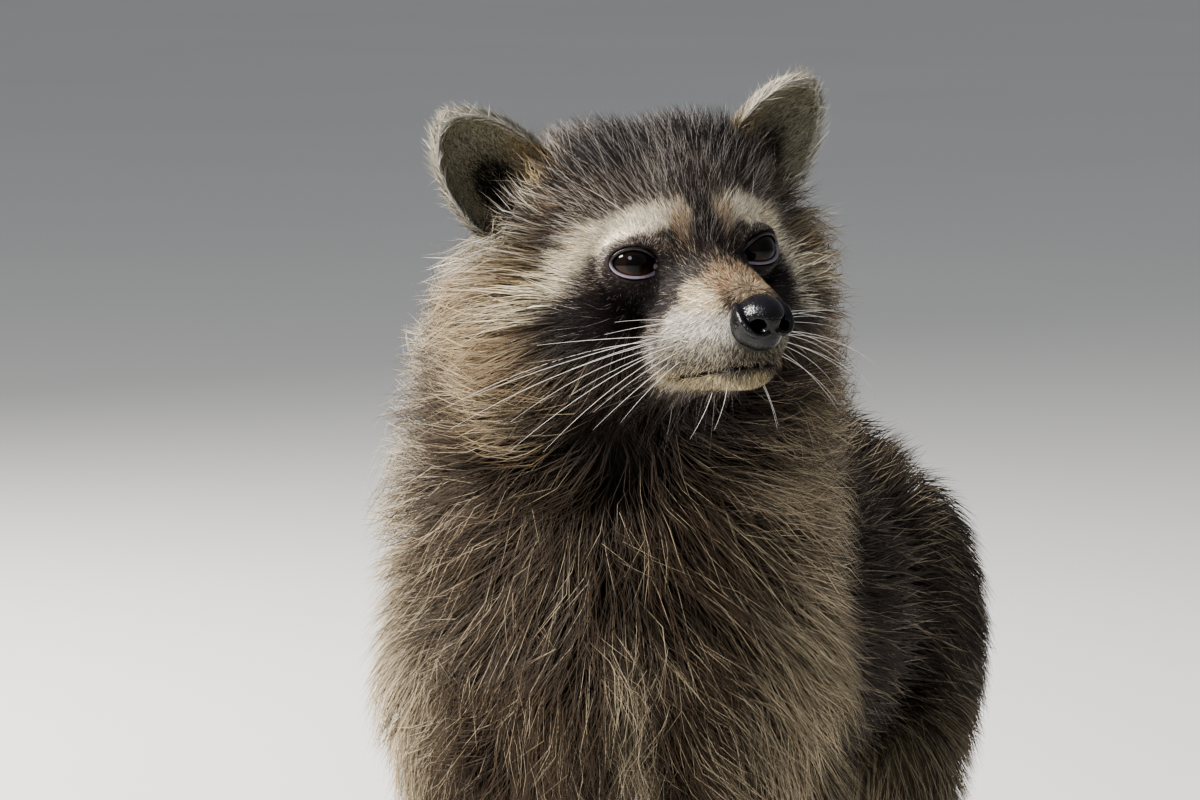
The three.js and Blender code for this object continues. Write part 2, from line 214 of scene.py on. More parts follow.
class Limb:
    """A round limb of flesh that tapers from one joint to the next."""

    def __init__(self, start, end, radii, coats, lie, frame=BODY):
        self.start, self.end = np.array(start, float), np.array(end, float)
        self.radii, self.coats, self.lie, self.frame = radii, coats, lie, frame
        ends = np.array([frame.world(self.start), frame.world(self.end)])
        self.low, self.high = ends.min(0) - max(radii), ends.max(0) + max(radii)

    def share(self, local):
        along = self.end - self.start
        return np.clip((local - self.start) @ along / (along @ along), 0, 1)

    def distance(self, points):
        local = self.frame.local(points)
        share = self.share(local)
        axis = self.start + share[:, None] * (self.end - self.start)
        radius = self.radii[0] + (self.radii[1] - self.radii[0]) * share
        return np.linalg.norm(local - axis, axis=1) - radius

    def depth(self, points):
        share = self.share(self.frame.local(points))
        return self.coats[0] + (self.coats[1] - self.coats[0]) * share


class Ear:
    """The outer ear: a flattened egg, narrower above, hollowed into a cup."""

    coat, lie = 1.6, "ear"

    def __init__(self, side):
        x, y, z = EAR["at"]
        axes = turn(Y, side * EAR["lean"]) @ turn(Z, side * EAR["turn"])
        self.side, self.frame = side, HEAD.child((side * x, y, z), axes)
        middle = self.frame.world((0, 0, EAR["rise"]))
        self.low, self.high = middle - EAR_REACH, middle + EAR_REACH

    def local(self, points):
        return self.frame.local(points) - (0, 0, EAR["rise"])

    def owns(self, points):
        """Which points are on this ear's side of the head."""
        return HEAD.local(points)[:, 0] * self.side > 0

    def egg(self, points, half, forward):
        local = self.local(points) + (0, forward, 0)
        narrow = 1 - EAR["taper"] * np.clip(local[:, 2:] / half[2], -1, 1)
        radii = half * np.hstack([narrow, narrow, np.ones_like(narrow)])
        return to_ellipsoid(local, radii)

    def shell(self, points):
        return self.egg(points, EAR_HALF, 0)

    def hollow(self, points):
        return self.egg(points, EAR_HALF - EAR_WALL, EAR_WALL + EAR_OPEN)

    def distance(self, points):
        return soft_max(self.shell(points), -self.hollow(points), 1.5)

    def rim(self, points):
        """How near points are to the ear's edge: 1 on it, 0 a few millimetres away."""
        shell, hollow = np.abs(self.shell(points)), np.abs(self.hollow(points))
        return step_up(1.8 - shell, 0, 1) * step_up(2.6 - hollow, 0, 1.5)

    def depth(self, points):
        return np.full(len(points), self.coat)


EARS = [Ear(side) for side in SIDES]


def both(make):
    """The shapes of both sides: make gives those of one side."""
    return [shape for side in SIDES for shape in make(side)]


def hip(side, out):
    """How far to the left a place lies that is so far out from the middle of the rump."""
    return RUMP_X + side * out


# The tail's joints, from its root to its tip: place, radius of the flesh, depth of the coat.
TAIL = [
    ((8, 172, 200), 17, 15),
    ((0, 232, 152), 12, 24),
    ((-24, 292, 104), 9, 28),
    ((-54, 350, 74), 7, 29),
    ((-80, 394, 66), 4, 21),
]

TRUNK = [
    Ball((0, -66, 172), (58, 92, 60), 24, "flank"),
    Ball((0, -136, 174), (46, 42, 60), 26, "chest"),
    Ball((RUMP_X / 2, 40, 169), (63, 108, 58), 23, "flank"),
    Ball((RUMP_X, 122, 170), (52, 66, 62), 24, "flank"),
    *both(lambda s: [Ball((s * 41, -118, 168), (28, 42, 60), 21, "shoulder")]),
    *both(lambda s: [Ball((hip(s, 53), 112, 150), (27, 50, 56), 16, "thigh")]),
    Ball((2, -132, 235), (61, 50, 52), 28, "neck"),
    Ball((5, -120, 278), (60, 42, 48), 22, "neck"),
    Ball((4, -76, 238), (44, 56, 40), 24, "flank"),
    Ball((0, 32, -42), (50, 36, 26), 26, "neck", HEAD),
]

FACE = [
    Ball((0, 12, 13), (37, 42, 33), 6, "face", HEAD),
    *both(lambda s: [Ball((s * 19, 14, 16), (26, 34, 31), 8, "face", HEAD)]),
    Ball((0, -12, 14), (26, 24, 18), 3.5, "face", HEAD),
    *both(lambda s: [Ball((s * 37, 20, -10), (20, 26, 26), 24, "cheek", HEAD)]),
    *both(lambda s: [Ball((s * 28, -4, -12), (16, 20, 19), 4, "face", HEAD)]),
    Limb((0, -22, -4), (0, -64, -13.5), (18, 11.8), (2.2, 1.2), "face", HEAD),
    *both(lambda s: [
        Limb((s * 14, -33, -23.5), (s * 6.5, -62, -20), (8.5, 7.6), (1.8, 1.3), "face", HEAD),
    ]),
    *both(lambda s: [
        Limb((s * 9, -22, -31), (s * 3.2, -59.5, -30.5), (10.5, 6.6), (2.2, 1.2), "face", HEAD),
    ]),
]


def foreleg(s):
    return [
        Limb((s * 49, -122, 158), (s * 54, -100, 124), (22, 19), (15, 13), "leg"),
        Limb((s * 54, -100, 124), (s * 49, -121, 42), (17, 11), (10, 4.5), "leg"),
        Limb((s * 49, -121, 42), (s * 49, -130, 14), (10.8, 9.6), (4.5, 2.5), "leg"),
    ]


def hindleg(s):
    return [
        Limb((hip(s, 60), 80, 112), (hip(s, 56), 156, 50), (24, 13), (13, 5), "leg"),
        Limb((hip(s, 56), 156, 50), (hip(s, 56), 152, 12.5), (12.6, 10.6), (4, 3), "leg"),
    ]


def feet(s):
    return [
        Ball((s * 49, -138, 9.6), (12.6, 23, 8.6), 1.5, "paw"),
        Limb((hip(s, 56), 151, 11.5), (hip(s, 62), 100, 9.6), (10.8, 9), (2, 1.5), "paw"),
        Ball((hip(s, 62), 94, 9.4), (12.8, 20.5, 8.3), 1.5, "paw"),
    ]


def tail():
    return [
        Limb(a[0], b[0], (a[1], b[1]), (a[2], b[2]), "tail")
        for a, b in zip(TAIL, TAIL[1:])
    ]


BODY_SHAPES = [*TRUNK, *both(foreleg), *both(hindleg), *tail()]
FEET = both(feet)


KNUCKLE = 8  # a finger or toe starts this far out from the middle of its foot
DROOP = 0.6  # and its tip is this much lower than its height says


class Digit:
    """Where one finger or toe starts and ends, and the way it points."""

    def __init__(self, root, angle, length, tip):
        self.outward = np.array([math.sin(angle), -math.cos(angle), 0])
        self.start = np.array(root, float) + KNUCKLE * self.outward
        self.end = self.start + length * self.outward
        self.end[2] = tip - DROOP


def fan(side, root, count, spread, length, tip, aim):
    """The digits of one foot, spread over so many degrees, the middle one the longest."""
    for n in range(count):
        share = n / (count - 1) - 0.5
        angle = math.radians(share * spread + side * aim)
        yield Digit(root, angle, length * (1 - 0.9 * share * share), tip)


FINGERS = [d for s in SIDES for d in fan(s, (s * 49, -146, 7), 5, 46, 21, 3.6, 4)]
TOES = [d for s in SIDES for d in fan(s, (hip(s, 62), 88, 7), 5, 34, 23, 4.3, 5)]

FINE_SHAPES = [
    *[Limb(d.start, d.end, (4.2, 3.2), (0.8, 0.4), "paw") for d in FINGERS],
    *[Limb(d.start, d.end, (5.0, 3.8), (0.8, 0.4), "paw") for d in TOES],
    *EARS,
    *[Ball((0, 0, 0), (10.5, 10.0, 9.7), 0.8, "face", eye) for eye in EYES],
]

# What is taken away: the gap between the lids, and a dip where the nose pad sits.
CARVED = [
    *[Ball((0, -8, 0.2), (9.5, 8.6, 5.7), 0, "face", eye) for eye in EYES],
    Ball(NOSE + (0, -2.5, 0), NOSE_HALF * 0.9, 0, "face", HEAD),
]
MOUTH = Ball((0, -17, 0), (25, 23, 0.85), 0, "face", HEAD.child((0, -34, -34.5), turn(X, -7)))
MOUTH_DEPTH = 2.4
FLOOR = 0.15  # the soles stop just short of the floor's own plane

# How wide the blends are between shapes that meet.
BODY_BLEND, FEET_BLEND, HEAD_BLEND, FINE_BLEND = 16, 7, 9, 3
LIP_BLEND, CARVED_BLEND = 1.2, 0.8

EVERYTHING = [*BODY_SHAPES, *FEET, *FACE, *FINE_SHAPES]
REACH = 22  # beyond its box by this much, a shape no longer changes the skin
FAR = 1e3


def near(shapes, low, high):
    return [s for s in shapes if (s.low - REACH < high).all() and (s.high + REACH > low).all()]


def measure(points, low, high):
    """The signed distance from the skin, for points inside one box."""

    def joined_to(found, shapes, width):
        for shape in near(shapes, low, high):
            found = soft_min(found, shape.distance(points), width)
        return found

    far = np.full(len(points), FAR)
    body = joined_to(joined_to(far, BODY_SHAPES, BODY_BLEND), FEET, FEET_BLEND)
    found = soft_min(body, joined_to(far, FACE, HEAD_BLEND), HEAD_BLEND)
    if near([MOUTH], low, high):
        slit = np.maximum(MOUTH.distance(points), -MOUTH_DEPTH - found)
        found = soft_max(found, -slit, LIP_BLEND)
    found = joined_to(found, FINE_SHAPES, FINE_BLEND)
    for shape in near(CARVED, low, high):
        found = soft_max(found, -shape.distance(points), CARVED_BLEND)
    return np.maximum(found, FLOOR - points[:, 2])


BLOCK = 45.0  # points are measured together in cubes this wide


def distance(points):
    """The signed distance from the skin, for points anywhere."""
    cube = np.floor(points / BLOCK).astype(int)
    _, which = np.unique(cube, axis=0, return_inverse=True)
    which = which.reshape(-1)
    order = np.argsort(which, kind="stable")
    found = np.empty(len(points))
    for group in np.split(order, np.nonzero(np.diff(which[order]))[0] + 1):
        here = points[group]
        found[group] = measure(here, here.min(0), here.max(0))
    return found


# The corners of a small tetrahedron, at which the distance is sampled to find its slope.
PROBES = np.array([[1, 1, 1], [1, -1, -1], [-1, 1, -1], [-1, -1, 1]]) * 0.35


def distance_and_normal(points):
    samples = [distance(points + probe) for probe in PROBES]
    slope = sum(value[:, None] * probe for value, probe in zip(samples, PROBES))
    return sum(samples) / 4, unit(slope)


# ---------------------------------------------------------------- the lie of the coat

NOSE_TIP = np.array([0, -66, -8])  # the face's hair radiates from here
WHORL = np.array([20, -205, 267])  # the breast's hair radiates from here


def lie_face(points):
    local = HEAD.local(points)
    away = unit(local - NOSE_TIP)
    away[:, 2] += 0.15 * np.sign(local[:, 2]) * (local[:, 1] < -30)
    return HEAD.direction(away)


def lie_cheek(points):
    local = HEAD.local(points)
    away = unit(local - NOSE_TIP)
    away[:, 2] -= 0.2
    away[:, 0] += 0.45 * np.sign(local[:, 0])
    return HEAD.direction(away)


def lie_neck(points):
    return unit(points - WHORL) + (0, 0.15, -0.12)


def lie_chest(points):
    return unit(points - WHORL) + (0, 0, -0.3)


TAIL_PLACES = np.array([place for place, _, _ in TAIL], float)
TAIL_STEPS = np.diff(TAIL_PLACES, axis=0)


def along_tail(points):
    """The number of the tail's length nearest to each point, the share along it, and the gap."""
    shares, gaps = [], []
    for start, step in zip(TAIL_PLACES, TAIL_STEPS):
        share = (points - start) @ step / (step @ step)
        foot = start + np.clip(share, 0, 1)[:, None] * step
        shares.append(share)
        gaps.append(np.linalg.norm(points - foot, axis=1))
    nearest = np.argmin(gaps, axis=0)
    pick = nearest, np.arange(len(points))
    return nearest, np.array(shares)[pick], np.array(gaps)[pick]


def lie_tail(points):
    return unit(TAIL_STEPS)[along_tail(points)[0]]


def lie_ear(points):
    found = np.zeros_like(points)
    for ear in EARS:
        mine = ear.owns(points)
        up = unit(ear.frame.local(points[mine]) - (0, 4, -26))
        found[mine] = ear.frame.direction(up)
    return found


def steady(*vector):
    return lambda points: np.tile(np.array(vector, float), (len(points), 1))


LIES = {
    "flank": steady(0, 1, -0.32),
    "shoulder": steady(0, 0.55, -0.9),
    "thigh": steady(0, 0.55, -0.85),
    "leg": steady(0, 0.25, -1),
    "paw": steady(0, -1, -0.3),
    "chest": lie_chest,
    "neck": lie_neck,
    "face": lie_face,
    "cheek": lie_cheek,
    "tail": lie_tail,
    "ear": lie_ear,
}


# ---------------------------------------------------------------- meshing


def lines(*stops):
    """Grid lines from stops and the steps between them: from, step, to, step, to ..."""
    found = [float(stops[0])]
    for step, end in zip(stops[1::2], stops[2::2]):
        count = max(1, round((end - found[-1]) / step))
        found.extend(found[-1] + (end - found[-1]) * np.arange(1, count + 1) / count)
    return np.array(found)


def on_grid(shape, axes, chunk=16):
    """Values of a field on a grid, where blocks that the surface can't cross take one value."""
    values = np.full([len(axis) for axis in axes], FAR)
    starts = [range(0, len(axis), chunk) for axis in axes]
    for i in starts[0]:
        for j in starts[1]:
            for k in starts[2]:
                part = [axes[0][i : i + chunk], axes[1][j : j + chunk], axes[2][k : k + chunk]]
                low = np.array([axis[0] for axis in part])
                high = np.array([axis[-1] for axis in part])
                block = values[i : i + chunk, j : j + chunk, k : k + chunk]
                centre = shape((low + high)[None] / 2, low, high)[0]
                if abs(centre) > np.linalg.norm(high - low) * 0.8 + 4:
                    block[:] = centre
                    continue
                grid = np.meshgrid(*part, indexing="ij")
                points = np.stack(grid, axis=-1).reshape(-1, 3)
                block[:] = shape(points, low, high).reshape(block.shape)
    return values


def surface_net(values, axes):
    """The zero surface of a field: a vertex in each crossed cell, a quad for each crossed edge."""
    cells = np.array(values.shape) - 1
    strides = np.array([cells[1] * cells[2], cells[2], 1])
    rings, places = [], []
    for axis in range(3):
        low = np.take(values, range(cells[axis]), axis)
        high = np.take(values, range(1, cells[axis] + 1), axis)
        index = np.argwhere((low < 0) != (high < 0))
        at = tuple(index.T)
        share = low[at] / (low[at] - high[at])
        place = np.stack([axes[a][index[:, a]] for a in range(3)], axis=1)
        place[:, axis] += share * (axes[axis][index[:, axis] + 1] - place[:, axis])
        base = index @ strides
        step_a, step_b = strides[(axis + 1) % 3], strides[(axis + 2) % 3]
        ring = np.stack([base, base - step_a, base - step_a - step_b, base - step_b], axis=1)
        rings.append(np.where((low[at] < 0)[:, None], ring, ring[:, ::-1]))
        places.append(np.repeat(place, 4, axis=0))
    rings, places = np.concatenate(rings), np.concatenate(places)
    _, number = np.unique(rings.reshape(-1), return_inverse=True)
    count = np.bincount(number)
    vertices = np.stack([np.bincount(number, places[:, a]) / count for a in range(3)], axis=1)
    return vertices, number.reshape(-1, 4)


def new_object(name, vertices, faces, material, colours=None, normals=None):
    """A piece from millimetre vertices and faces that all have one number of corners."""
    mesh = bpy.data.meshes.new(name)
    corners = faces.shape[1]
    mesh.vertices.add(len(vertices))
    mesh.vertices.foreach_set("co", metres(vertices).astype(np.float32).ravel())
    mesh.loops.add(faces.size)
    mesh.loops.foreach_set("vertex_index", faces.astype(np.int32).ravel())
    mesh.polygons.add(len(faces))
    mesh.polygons.foreach_set("loop_start", np.arange(0, faces.size, corners, dtype=np.int32))
    mesh.update(calc_edges=True)
    mesh.polygons.foreach_set("use_smooth", np.ones(len(faces), bool))
    if normals is not None:
        mesh.normals_split_custom_set_from_vertices(normals.astype(np.float32))
    if colours is not None:
        paint(mesh, colours)
    mesh.materials.append(material)
    made = bpy.data.objects.new(name, mesh)
    bpy.context.scene.collection.objects.link(made)
    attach(made, "root")
    return made


PAINT = "Markings"  # the colour attribute that the materials read


def paint(mesh, colours):
    """Store a linear colour at every vertex."""
    layer = mesh.color_attributes.new(PAINT, "FLOAT_COLOR", "POINT")
    rgba = np.ones((len(colours), 4), np.float32)
    rgba[:, :3] = colours
    layer.data.foreach_set("color", rgba.ravel())


# ---------------------------------------------------------------- markings


def linear(r, g, b):
    """A colour given as it looks on a screen, 0 to 255, in linear light."""
    c = np.array([r, g, b]) / 255
    return np.where(c <= 0.04045, c / 12.92, ((c + 0.055) / 1.055) ** 2.4)


CREAM = linear(244, 234, 212)
IVORY = linear(234, 222, 196)
WHITE = linear(178, 176, 169)
GRIZZLE = linear(72, 61, 54)
TAN = linear(148, 130, 102)
GOLD = linear(150, 128, 90)
MASK = linear(41, 33, 32)
BLACK = linear(20, 17, 17)
OLIVE = linear(138, 139, 121)
# The breast's dark brown and the throat's darker brown are partly their own colour and partly
# painted shade.
CHEST = linear(65, 52, 38)
SIDE = linear(170, 156, 132)
THROAT = linear(50, 40, 31)
BACK = linear(70, 61, 53)
BELLY = linear(150, 136, 112)
SHANK = linear(112, 96, 76)
BAND = linear(166, 148, 118)
PALE = linear(206, 192, 164)
# Pale tips on the face's tufts: partly pale-tipped hair, and on the crown partly a painted
# highlight.
FROST_AND_SHEEN = linear(220, 213, 205)
PAW = linear(160, 146, 124)
# painted shade: the colour that darkens the lower part of each ear's hollow
EAR_PAINTED_SHADE = linear(66, 64, 54)
EAR_BACK, EAR_BACK_TIP = linear(58, 50, 46), linear(140, 132, 118)
EAR_RIM = linear(238, 233, 220)

# Strokes of colour on the head, laid on in turn on both its sides: places, then radii at them,
# colour and strength.
STROKES = {
    "crown": (
        [(30, 4, 34), (18, 0, 40), (0, 6, 44)],
        [14, 14, 14], linear(36, 32, 34), 0.9,
    ),
    "ruff": (
        [(54, 16, 4), (55, 18, -16), (50, 18, -40)],
        [18, 18, 18], TAN, 0.9,
    ),
    # Under the chin: partly dark fur and partly painted shade below the chin.
    "throat": (
        [(44, 12, -40), (30, -2, -46), (14, -14, -44), (0, -18, -44)],
        [10, 10, 9, 8], THROAT, 0.95,
    ),
    "temple": (
        [(30, -13, 29), (38, -6, 25), (48, 4, 22), (56, 8, 22)],
        [7, 8, 9, 9], linear(90, 75, 62), 0.8,
    ),
    "cheek": (
        [(48, -2, -14), (51, 5, -20), (45, 6, -30)],
        [5, 6, 6], linear(128, 108, 84), 0.8,
    ),
    "jaw": (
        [(41, -6, -25), (29, -16, -27), (22, -24, -29), (16, -26, -37)],
        [6, 6, 6, 6], linear(62, 50, 41), 0.9,
    ),
    "brow": (
        [(7.6, -33, 22), (14, -31, 21.5), (20.5, -27, 20.5), (27, -22, 18), (33, -16, 16)],
        [4.0, 4.6, 5.0, 5.0, 5.0], CREAM, 1,
    ),
    "cheek streak": (
        [(33, -16, 16), (38, -10, 12), (42, -5.5, 5), (46, -4, -2), (50, 0, -7)],
        [5, 5.4, 5.8, 5.8, 5.4], IVORY, 0.95,
    ),
    "forehead line": (
        [(0, -6, 44), (0, -20, 36), (0, -30, 27), (0, -36, 17), (0, -39, 9), (0, -46, 5.5)],
        [6, 5, 4.6, 4.4, 6, 6.5], linear(64, 54, 52), 0.9,
    ),
    "inner end of the brow": (
        [(8, -33, 22), (8.5, -36, 17), (9.5, -38, 13)],
        [3.4, 3.4, 3], linear(176, 146, 114), 0.75,
    ),
    "side of the bridge": (
        [(7, -40, 8), (15, -36, 9)],
        [5, 5.5], linear(58, 47, 44), 0.9,
    ),
    "upper lid": (
        [(13, -36, 10), (19, -31, 13), (28, -28, 12), (34, -21, 8)],
        [3, 3, 3, 3], linear(84, 68, 56), 0.85,
    ),
    "round the eye": (
        [(16, -34, 3), (24, -30, 3), (31, -26, 1)],
        [7, 8, 6.5], MASK, 0.95,
    ),
    "mask": (
        [(12.5, -40, 1), (18, -32, -4), (31, -24, -10), (39, -18, -12.5), (45, -9, -13.5)],
        [8, 9.5, 10, 9.5, 8.5], MASK, 1,
    ),
    "bridge": (
        [(0, -52, 3), (0, -57, 1)],
        [6, 5], linear(104, 84, 72), 0.85,
    ),
    "slope of the bridge": (
        [(5, -55, 0.5), (6, -61, -3)],
        [5, 5.5], linear(154, 124, 98), 0.8,
    ),
    "above the nose": (
        [(0, -63, -2), (0, -70, -4), (0, -76, -6)],
        [5, 7, 7], linear(158, 140, 118), 0.9,
    ),
    "upper side of the muzzle": (
        [(13, -50, -7), (13, -60, -12)],
        [7, 8], linear(196, 180, 152), 1,
    ),
    "muzzle": (
        [(17, -43, -17), (16, -52, -19), (12, -62, -20), (11, -68, -18)],
        [7, 9, 9, 7], WHITE, 1,
    ),
    # The upper lip and the edge of the lip are dark grey: partly the grey hair there and partly
    # painted shade under the nose and along the mouth.
    "upper lip": (
        [(20, -36, -28), (15, -52, -27), (9, -64, -25), (3, -70, -26)],
        [7, 7.5, 7.5, 6], linear(110, 107, 100), 0.85,
    ),
    "edge of the lip": (
        [(21, -36, -32), (17, -48, -31), (12, -58, -30), (5, -67, -28)],
        [3, 3.6, 4, 5], linear(80, 74, 66), 0.85,
    ),
    "chin": (
        [(20, -32, -38), (12, -50, -38), (0, -63, -36)],
        [6, 6, 6], linear(156, 144, 114), 0.95,
    ),
}
# On the left side the cheek streak spreads farther forward.
LEFT_STREAK = ([(40, -7, 7), (43, -8, -2.5), (43, -11, -9), (42, -13, -14)], [4.6, 4.8, 4.4, 3.6])


def nearest_on(points, places, radii):
    """The least distance from a run of places, as a share of the radius there."""
    best = np.full(len(points), np.inf)
    for a, b, r, q in zip(places, places[1:], radii, radii[1:]):
        start, step = np.array(a, float), np.subtract(b, a).astype(float)
        share = np.clip((points - start) @ step / (step @ step), 0, 1)
        gap = np.linalg.norm(points - start - share[:, None] * step, axis=1)
        best = np.minimum(best, gap / (r + (q - r) * share))
    return best


STROKE_EDGE = (0.72, 1.24)  # a stroke fades between these shares of its radius


def layered(colour, *layers):
    """A colour with others laid over it in turn, each by its own share at every point."""
    for other, share in layers:
        colour = colour + (other - colour) * np.clip(share, 0, 1)[:, None]
    return colour


def ripple(points, scale, seed):
    """A smooth, even wobble from -1 to 1, made of a few waves."""
    waves = np.random.default_rng(seed)
    turns = waves.normal(size=(3, 5)) / scale
    return np.sin(points @ turns * 2 * math.pi + waves.uniform(0, 6.3, 5)).mean(axis=1)


def markings(points):
    """The colour of the coat at points on the skin."""
    x, y, z = points.T
    wobble = ripple(points, 22, 3)
    breast = step_up(-y, 92, 128)
    dark = breast * step_up(24 - np.abs(x - 14 + 16 * wobble), 0, 22)
    streak = step_up(7 - np.abs(x - 16 + 6 * wobble), 0, 8)
    low = step_up(-z, -118, -70) * np.where(y < -60, 1.0, 0.8)
    rings, tail_share = tail_rings(points)
    on_tail = step_up(tail_share, 0.03, 0.2)
    head = HEAD.local(points)
    face = step_up(-head[:, 1], -46, -24) * step_up(head[:, 2], -62, -48)
    # The breast is painted dark, darkest up the middle of the throat: partly its own colour and
    # partly painted shade.
    colour = layered(
        BACK,
        (CHEST, breast),
        (SIDE, breast * step_up(np.abs(x) + 14 * wobble, 44, 72)),
        (THROAT, 0.75 * dark * step_up(z, 190, 262)),
        (PALE, 0.6 * breast * streak * step_up(-z, -200, -140)),
        (BELLY, 0.8 * step_up(-z, -132, -112) * (1 - breast)),
        (SHANK, low * (y < 190)),
        (PAW, step_up(-z, -34, -14)),
        (BAND, on_tail),
        (BLACK, on_tail * rings),
        (GRIZZLE, face),
    )
    mirrored = np.column_stack([np.abs(head[:, 0]), head[:, 1], head[:, 2]])
    mirrored = mirrored + 1.2 * ripple(points, 9, 5)[:, None]
    for places, radii, paint_, strength in STROKES.values():
        gap = nearest_on(mirrored, places, radii)
        colour = layered(colour, (paint_, strength * (1 - step_up(gap, *STROKE_EDGE))))
    gap = nearest_on(head, *LEFT_STREAK)
    colour = layered(colour, (CREAM, 0.9 * (1 - step_up(gap, 0.7, 1.3))))
    return ear_markings(points, colour)


RINGS = 6  # dark rings in the tail's whole length, of which the first is lost in the rump's hair


def tail_rings(points):
    """How dark the tail's rings are, and how far along it a point lies, from 0 to 1."""
    nearest, share, gap = along_tail(points)
    lengths = np.linalg.norm(TAIL_STEPS, axis=1)
    before = np.cumsum(lengths) - lengths
    share = np.clip(share, np.where(nearest > 0, 0, -2), 1)
    share = (before[nearest] + share * lengths[nearest]) / lengths.sum()
    wave = np.cos(share * 2 * math.pi * RINGS - 0.9)
    dark = np.maximum(step_up(wave, -0.3, 0.1), step_up(share, 0.87, 0.91))
    return dark, np.where(gap < 45, share, 0)


def ear_markings(points, colour):
    """The ears: pale rims round an olive hollow, black at its depth and darkened lower down with
    painted shade, and dark backs.
    """
    for ear in EARS:
        local = ear.local(points)
        x, z = local[:, 0] * ear.side, local[:, 2]
        shell = ear.shell(points)
        on_ear = (shell < 1.5) & (z > -20)
        inside = on_ear & (ear.hollow(points) + shell < 0)
        core = np.hypot((x - 1.5) / 12, (z + 5) / 18)
        hollow = layered(
            OLIVE,
            (GOLD, step_up(-x, 3, 13) * step_up(-z, -16, 4)),
            # painted shade, darker towards the bottom of the hollow
            (EAR_PAINTED_SHADE, 0.8 * step_up(-z, 2, 18)),
            (BLACK, 1 - step_up(core, 0.45, 1.2)),
        )
        back = layered(EAR_BACK, (EAR_BACK_TIP, step_up(z, 8, 26)))
        rim = layered(EAR_RIM, (GOLD, step_up(-x, 2, 9) * step_up(-z, -6, 4)))
        colour = np.where(inside[:, None], hollow, colour)
        colour = np.where((on_ear & ~inside & (z > -14))[:, None], back, colour)
        colour = layered(colour, (rim, 0.95 * ear.rim(points) * step_up(z, -18, -8)))
    return colour


# ---------------------------------------------------------------- the skin

# Lines of the grid that the skin is found on: closer at the head, the feet and the face.
GRID = [
    lines(-116, 4, -80, 1.8, -42, 1.2, 106, 3, 118),
    lines(-276, 1.2, -118, 4.5, 46, 1.7, 112, 4.5, 424),
    lines(-2, 1.4, 26, 4.2, 238, 2, 280, 0.8, 300, 1.1, 396),
]


def make_skin():
    """A closed mesh of quads, with its vertices moved onto the skin itself."""
    vertices, faces = surface_net(on_grid(measure, GRID), GRID)
    for _ in range(2):
        vertices = settled(vertices, 0.6)[0]
    return vertices, faces


def settled(points, most):
    """Points moved onto the skin, by no more than so far, and the normals where they were."""
    gap, normals = distance_and_normal(points)
    return points - normals * np.clip(gap, -most, most)[:, None], normals


skin_vertices, skin_faces = make_skin()


WOOL = 0.45  # how bright the skin's wool is, as a share of the coat's markings


def skin_colours(points):
    """The skin is the dark underwool, and bare and dark round the eyes and on the lips."""
    colour = markings(points) * WOOL
    for eye in EYES:
        gap = np.linalg.norm(points - eye.origin, axis=1)
        colour = layered(colour, (linear(38, 30, 30), 1 - step_up(gap, 11, 13)))
    lips = 1 - step_up(MOUTH.distance(points), 0.5, 1.4)
    soles = step_up(-points[:, 2], -1.6, -0.6)
    return layered(colour, (linear(30, 24, 24), lips), (linear(52, 44, 42), soles))


# ---------------------------------------------------------------- the coat


@dataclass
class Zone:
    """How the coat grows in one zone."""

    layers: float  # how many layers of tufts cover the skin
    width: float  # a tuft's width, in millimetres
    length: float  # its length, as a multiple of the coat's depth
    bends: int = 1  # how many straight pieces it has
    stray: float = 10  # how far it strays to its sides, in degrees
    lock: float = 0  # how far apart the locks are, or 0 where the tufts form none
    gather: float = 0  # how far the tufts close up into their lock
    sway: float = 0  # how far a lock sways to one side, in degrees
    wave: float = 0  # how far it then turns to and fro, in degrees
    wisps: float = 0  # the share of thin tufts that stand out
    tone: float = 0.24  # how much the tufts differ in brightness
    # the dark roots are partly the wool and partly painted shade between the tufts
    roots: float = 0.75  # how bright the roots of short tufts are
    pale: float = 0.34  # the most tufts that have pale tips
    frost: tuple = tuple(PALE)  # the colour of a pale tip
    specks: float = 0  # the least share of tufts with dark tips


ZONES = {
    "muzzle": Zone(4.2, 0.4, 2.7, stray=18, tone=0.45, roots=0.5, specks=0.2),
    "face": Zone(5.6, 0.36, 2.0, stray=14, pale=0.35, frost=tuple(FROST_AND_SHEEN)),
    "ear": Zone(4.2, 0.28, 2.7, stray=19, pale=0.6),
    "cheek": Zone(4.6, 0.44, 1.7, bends=2, lock=7, gather=0.3, sway=6, wisps=0.15),
    "neck": Zone(5.0, 0.45, 1.7, bends=3, lock=9, gather=0.4, sway=11, wave=18, wisps=0.22),
    "chest": Zone(
        7.2, 0.43, 1.8, bends=4, stray=13, lock=10, gather=0.5, sway=17, wave=24, wisps=0.3
    ),
    "shoulder": Zone(5.0, 0.62, 1.8, bends=2, stray=11, lock=10, gather=0.4, sway=9, wisps=0.15),
    "flank": Zone(4.8, 0.85, 1.7, bends=2, stray=9, lock=12, gather=0.4, sway=6, wisps=0.15),
    "thigh": Zone(4.8, 0.85, 1.8, bends=2, lock=11, gather=0.4, sway=7, wisps=0.15),
    "leg": Zone(3.2, 0.8, 2.1, stray=9, lock=7, gather=0.3, sway=5),
    "paw": Zone(2.6, 0.55, 2.6),
    "tail": Zone(13, 0.85, 1.6, bends=2, stray=9, lock=9, gather=0.35, sway=6, wisps=0.15),
}
WAVES = (1, -2, 1.8, -1.6)  # how a wavy tuft turns to and fro in each of its bends
RISE = (0.6, 1.0)  # how high tufts stand, as shares of the coat's depth
LENGTHS = (0.75, 1.2)  # how long they are, as shares of their zone's length
WIDTHS = (0.7, 1.25)  # and how wide, as shares of its width
STEEPEST = (-0.4, 0.85)  # the sines of the steepest ways down and up that a tuft may take
WISP_WIDTH, WISP_LENGTH = 0.55, 1.25  # a wisp is thinner and longer than the other tufts
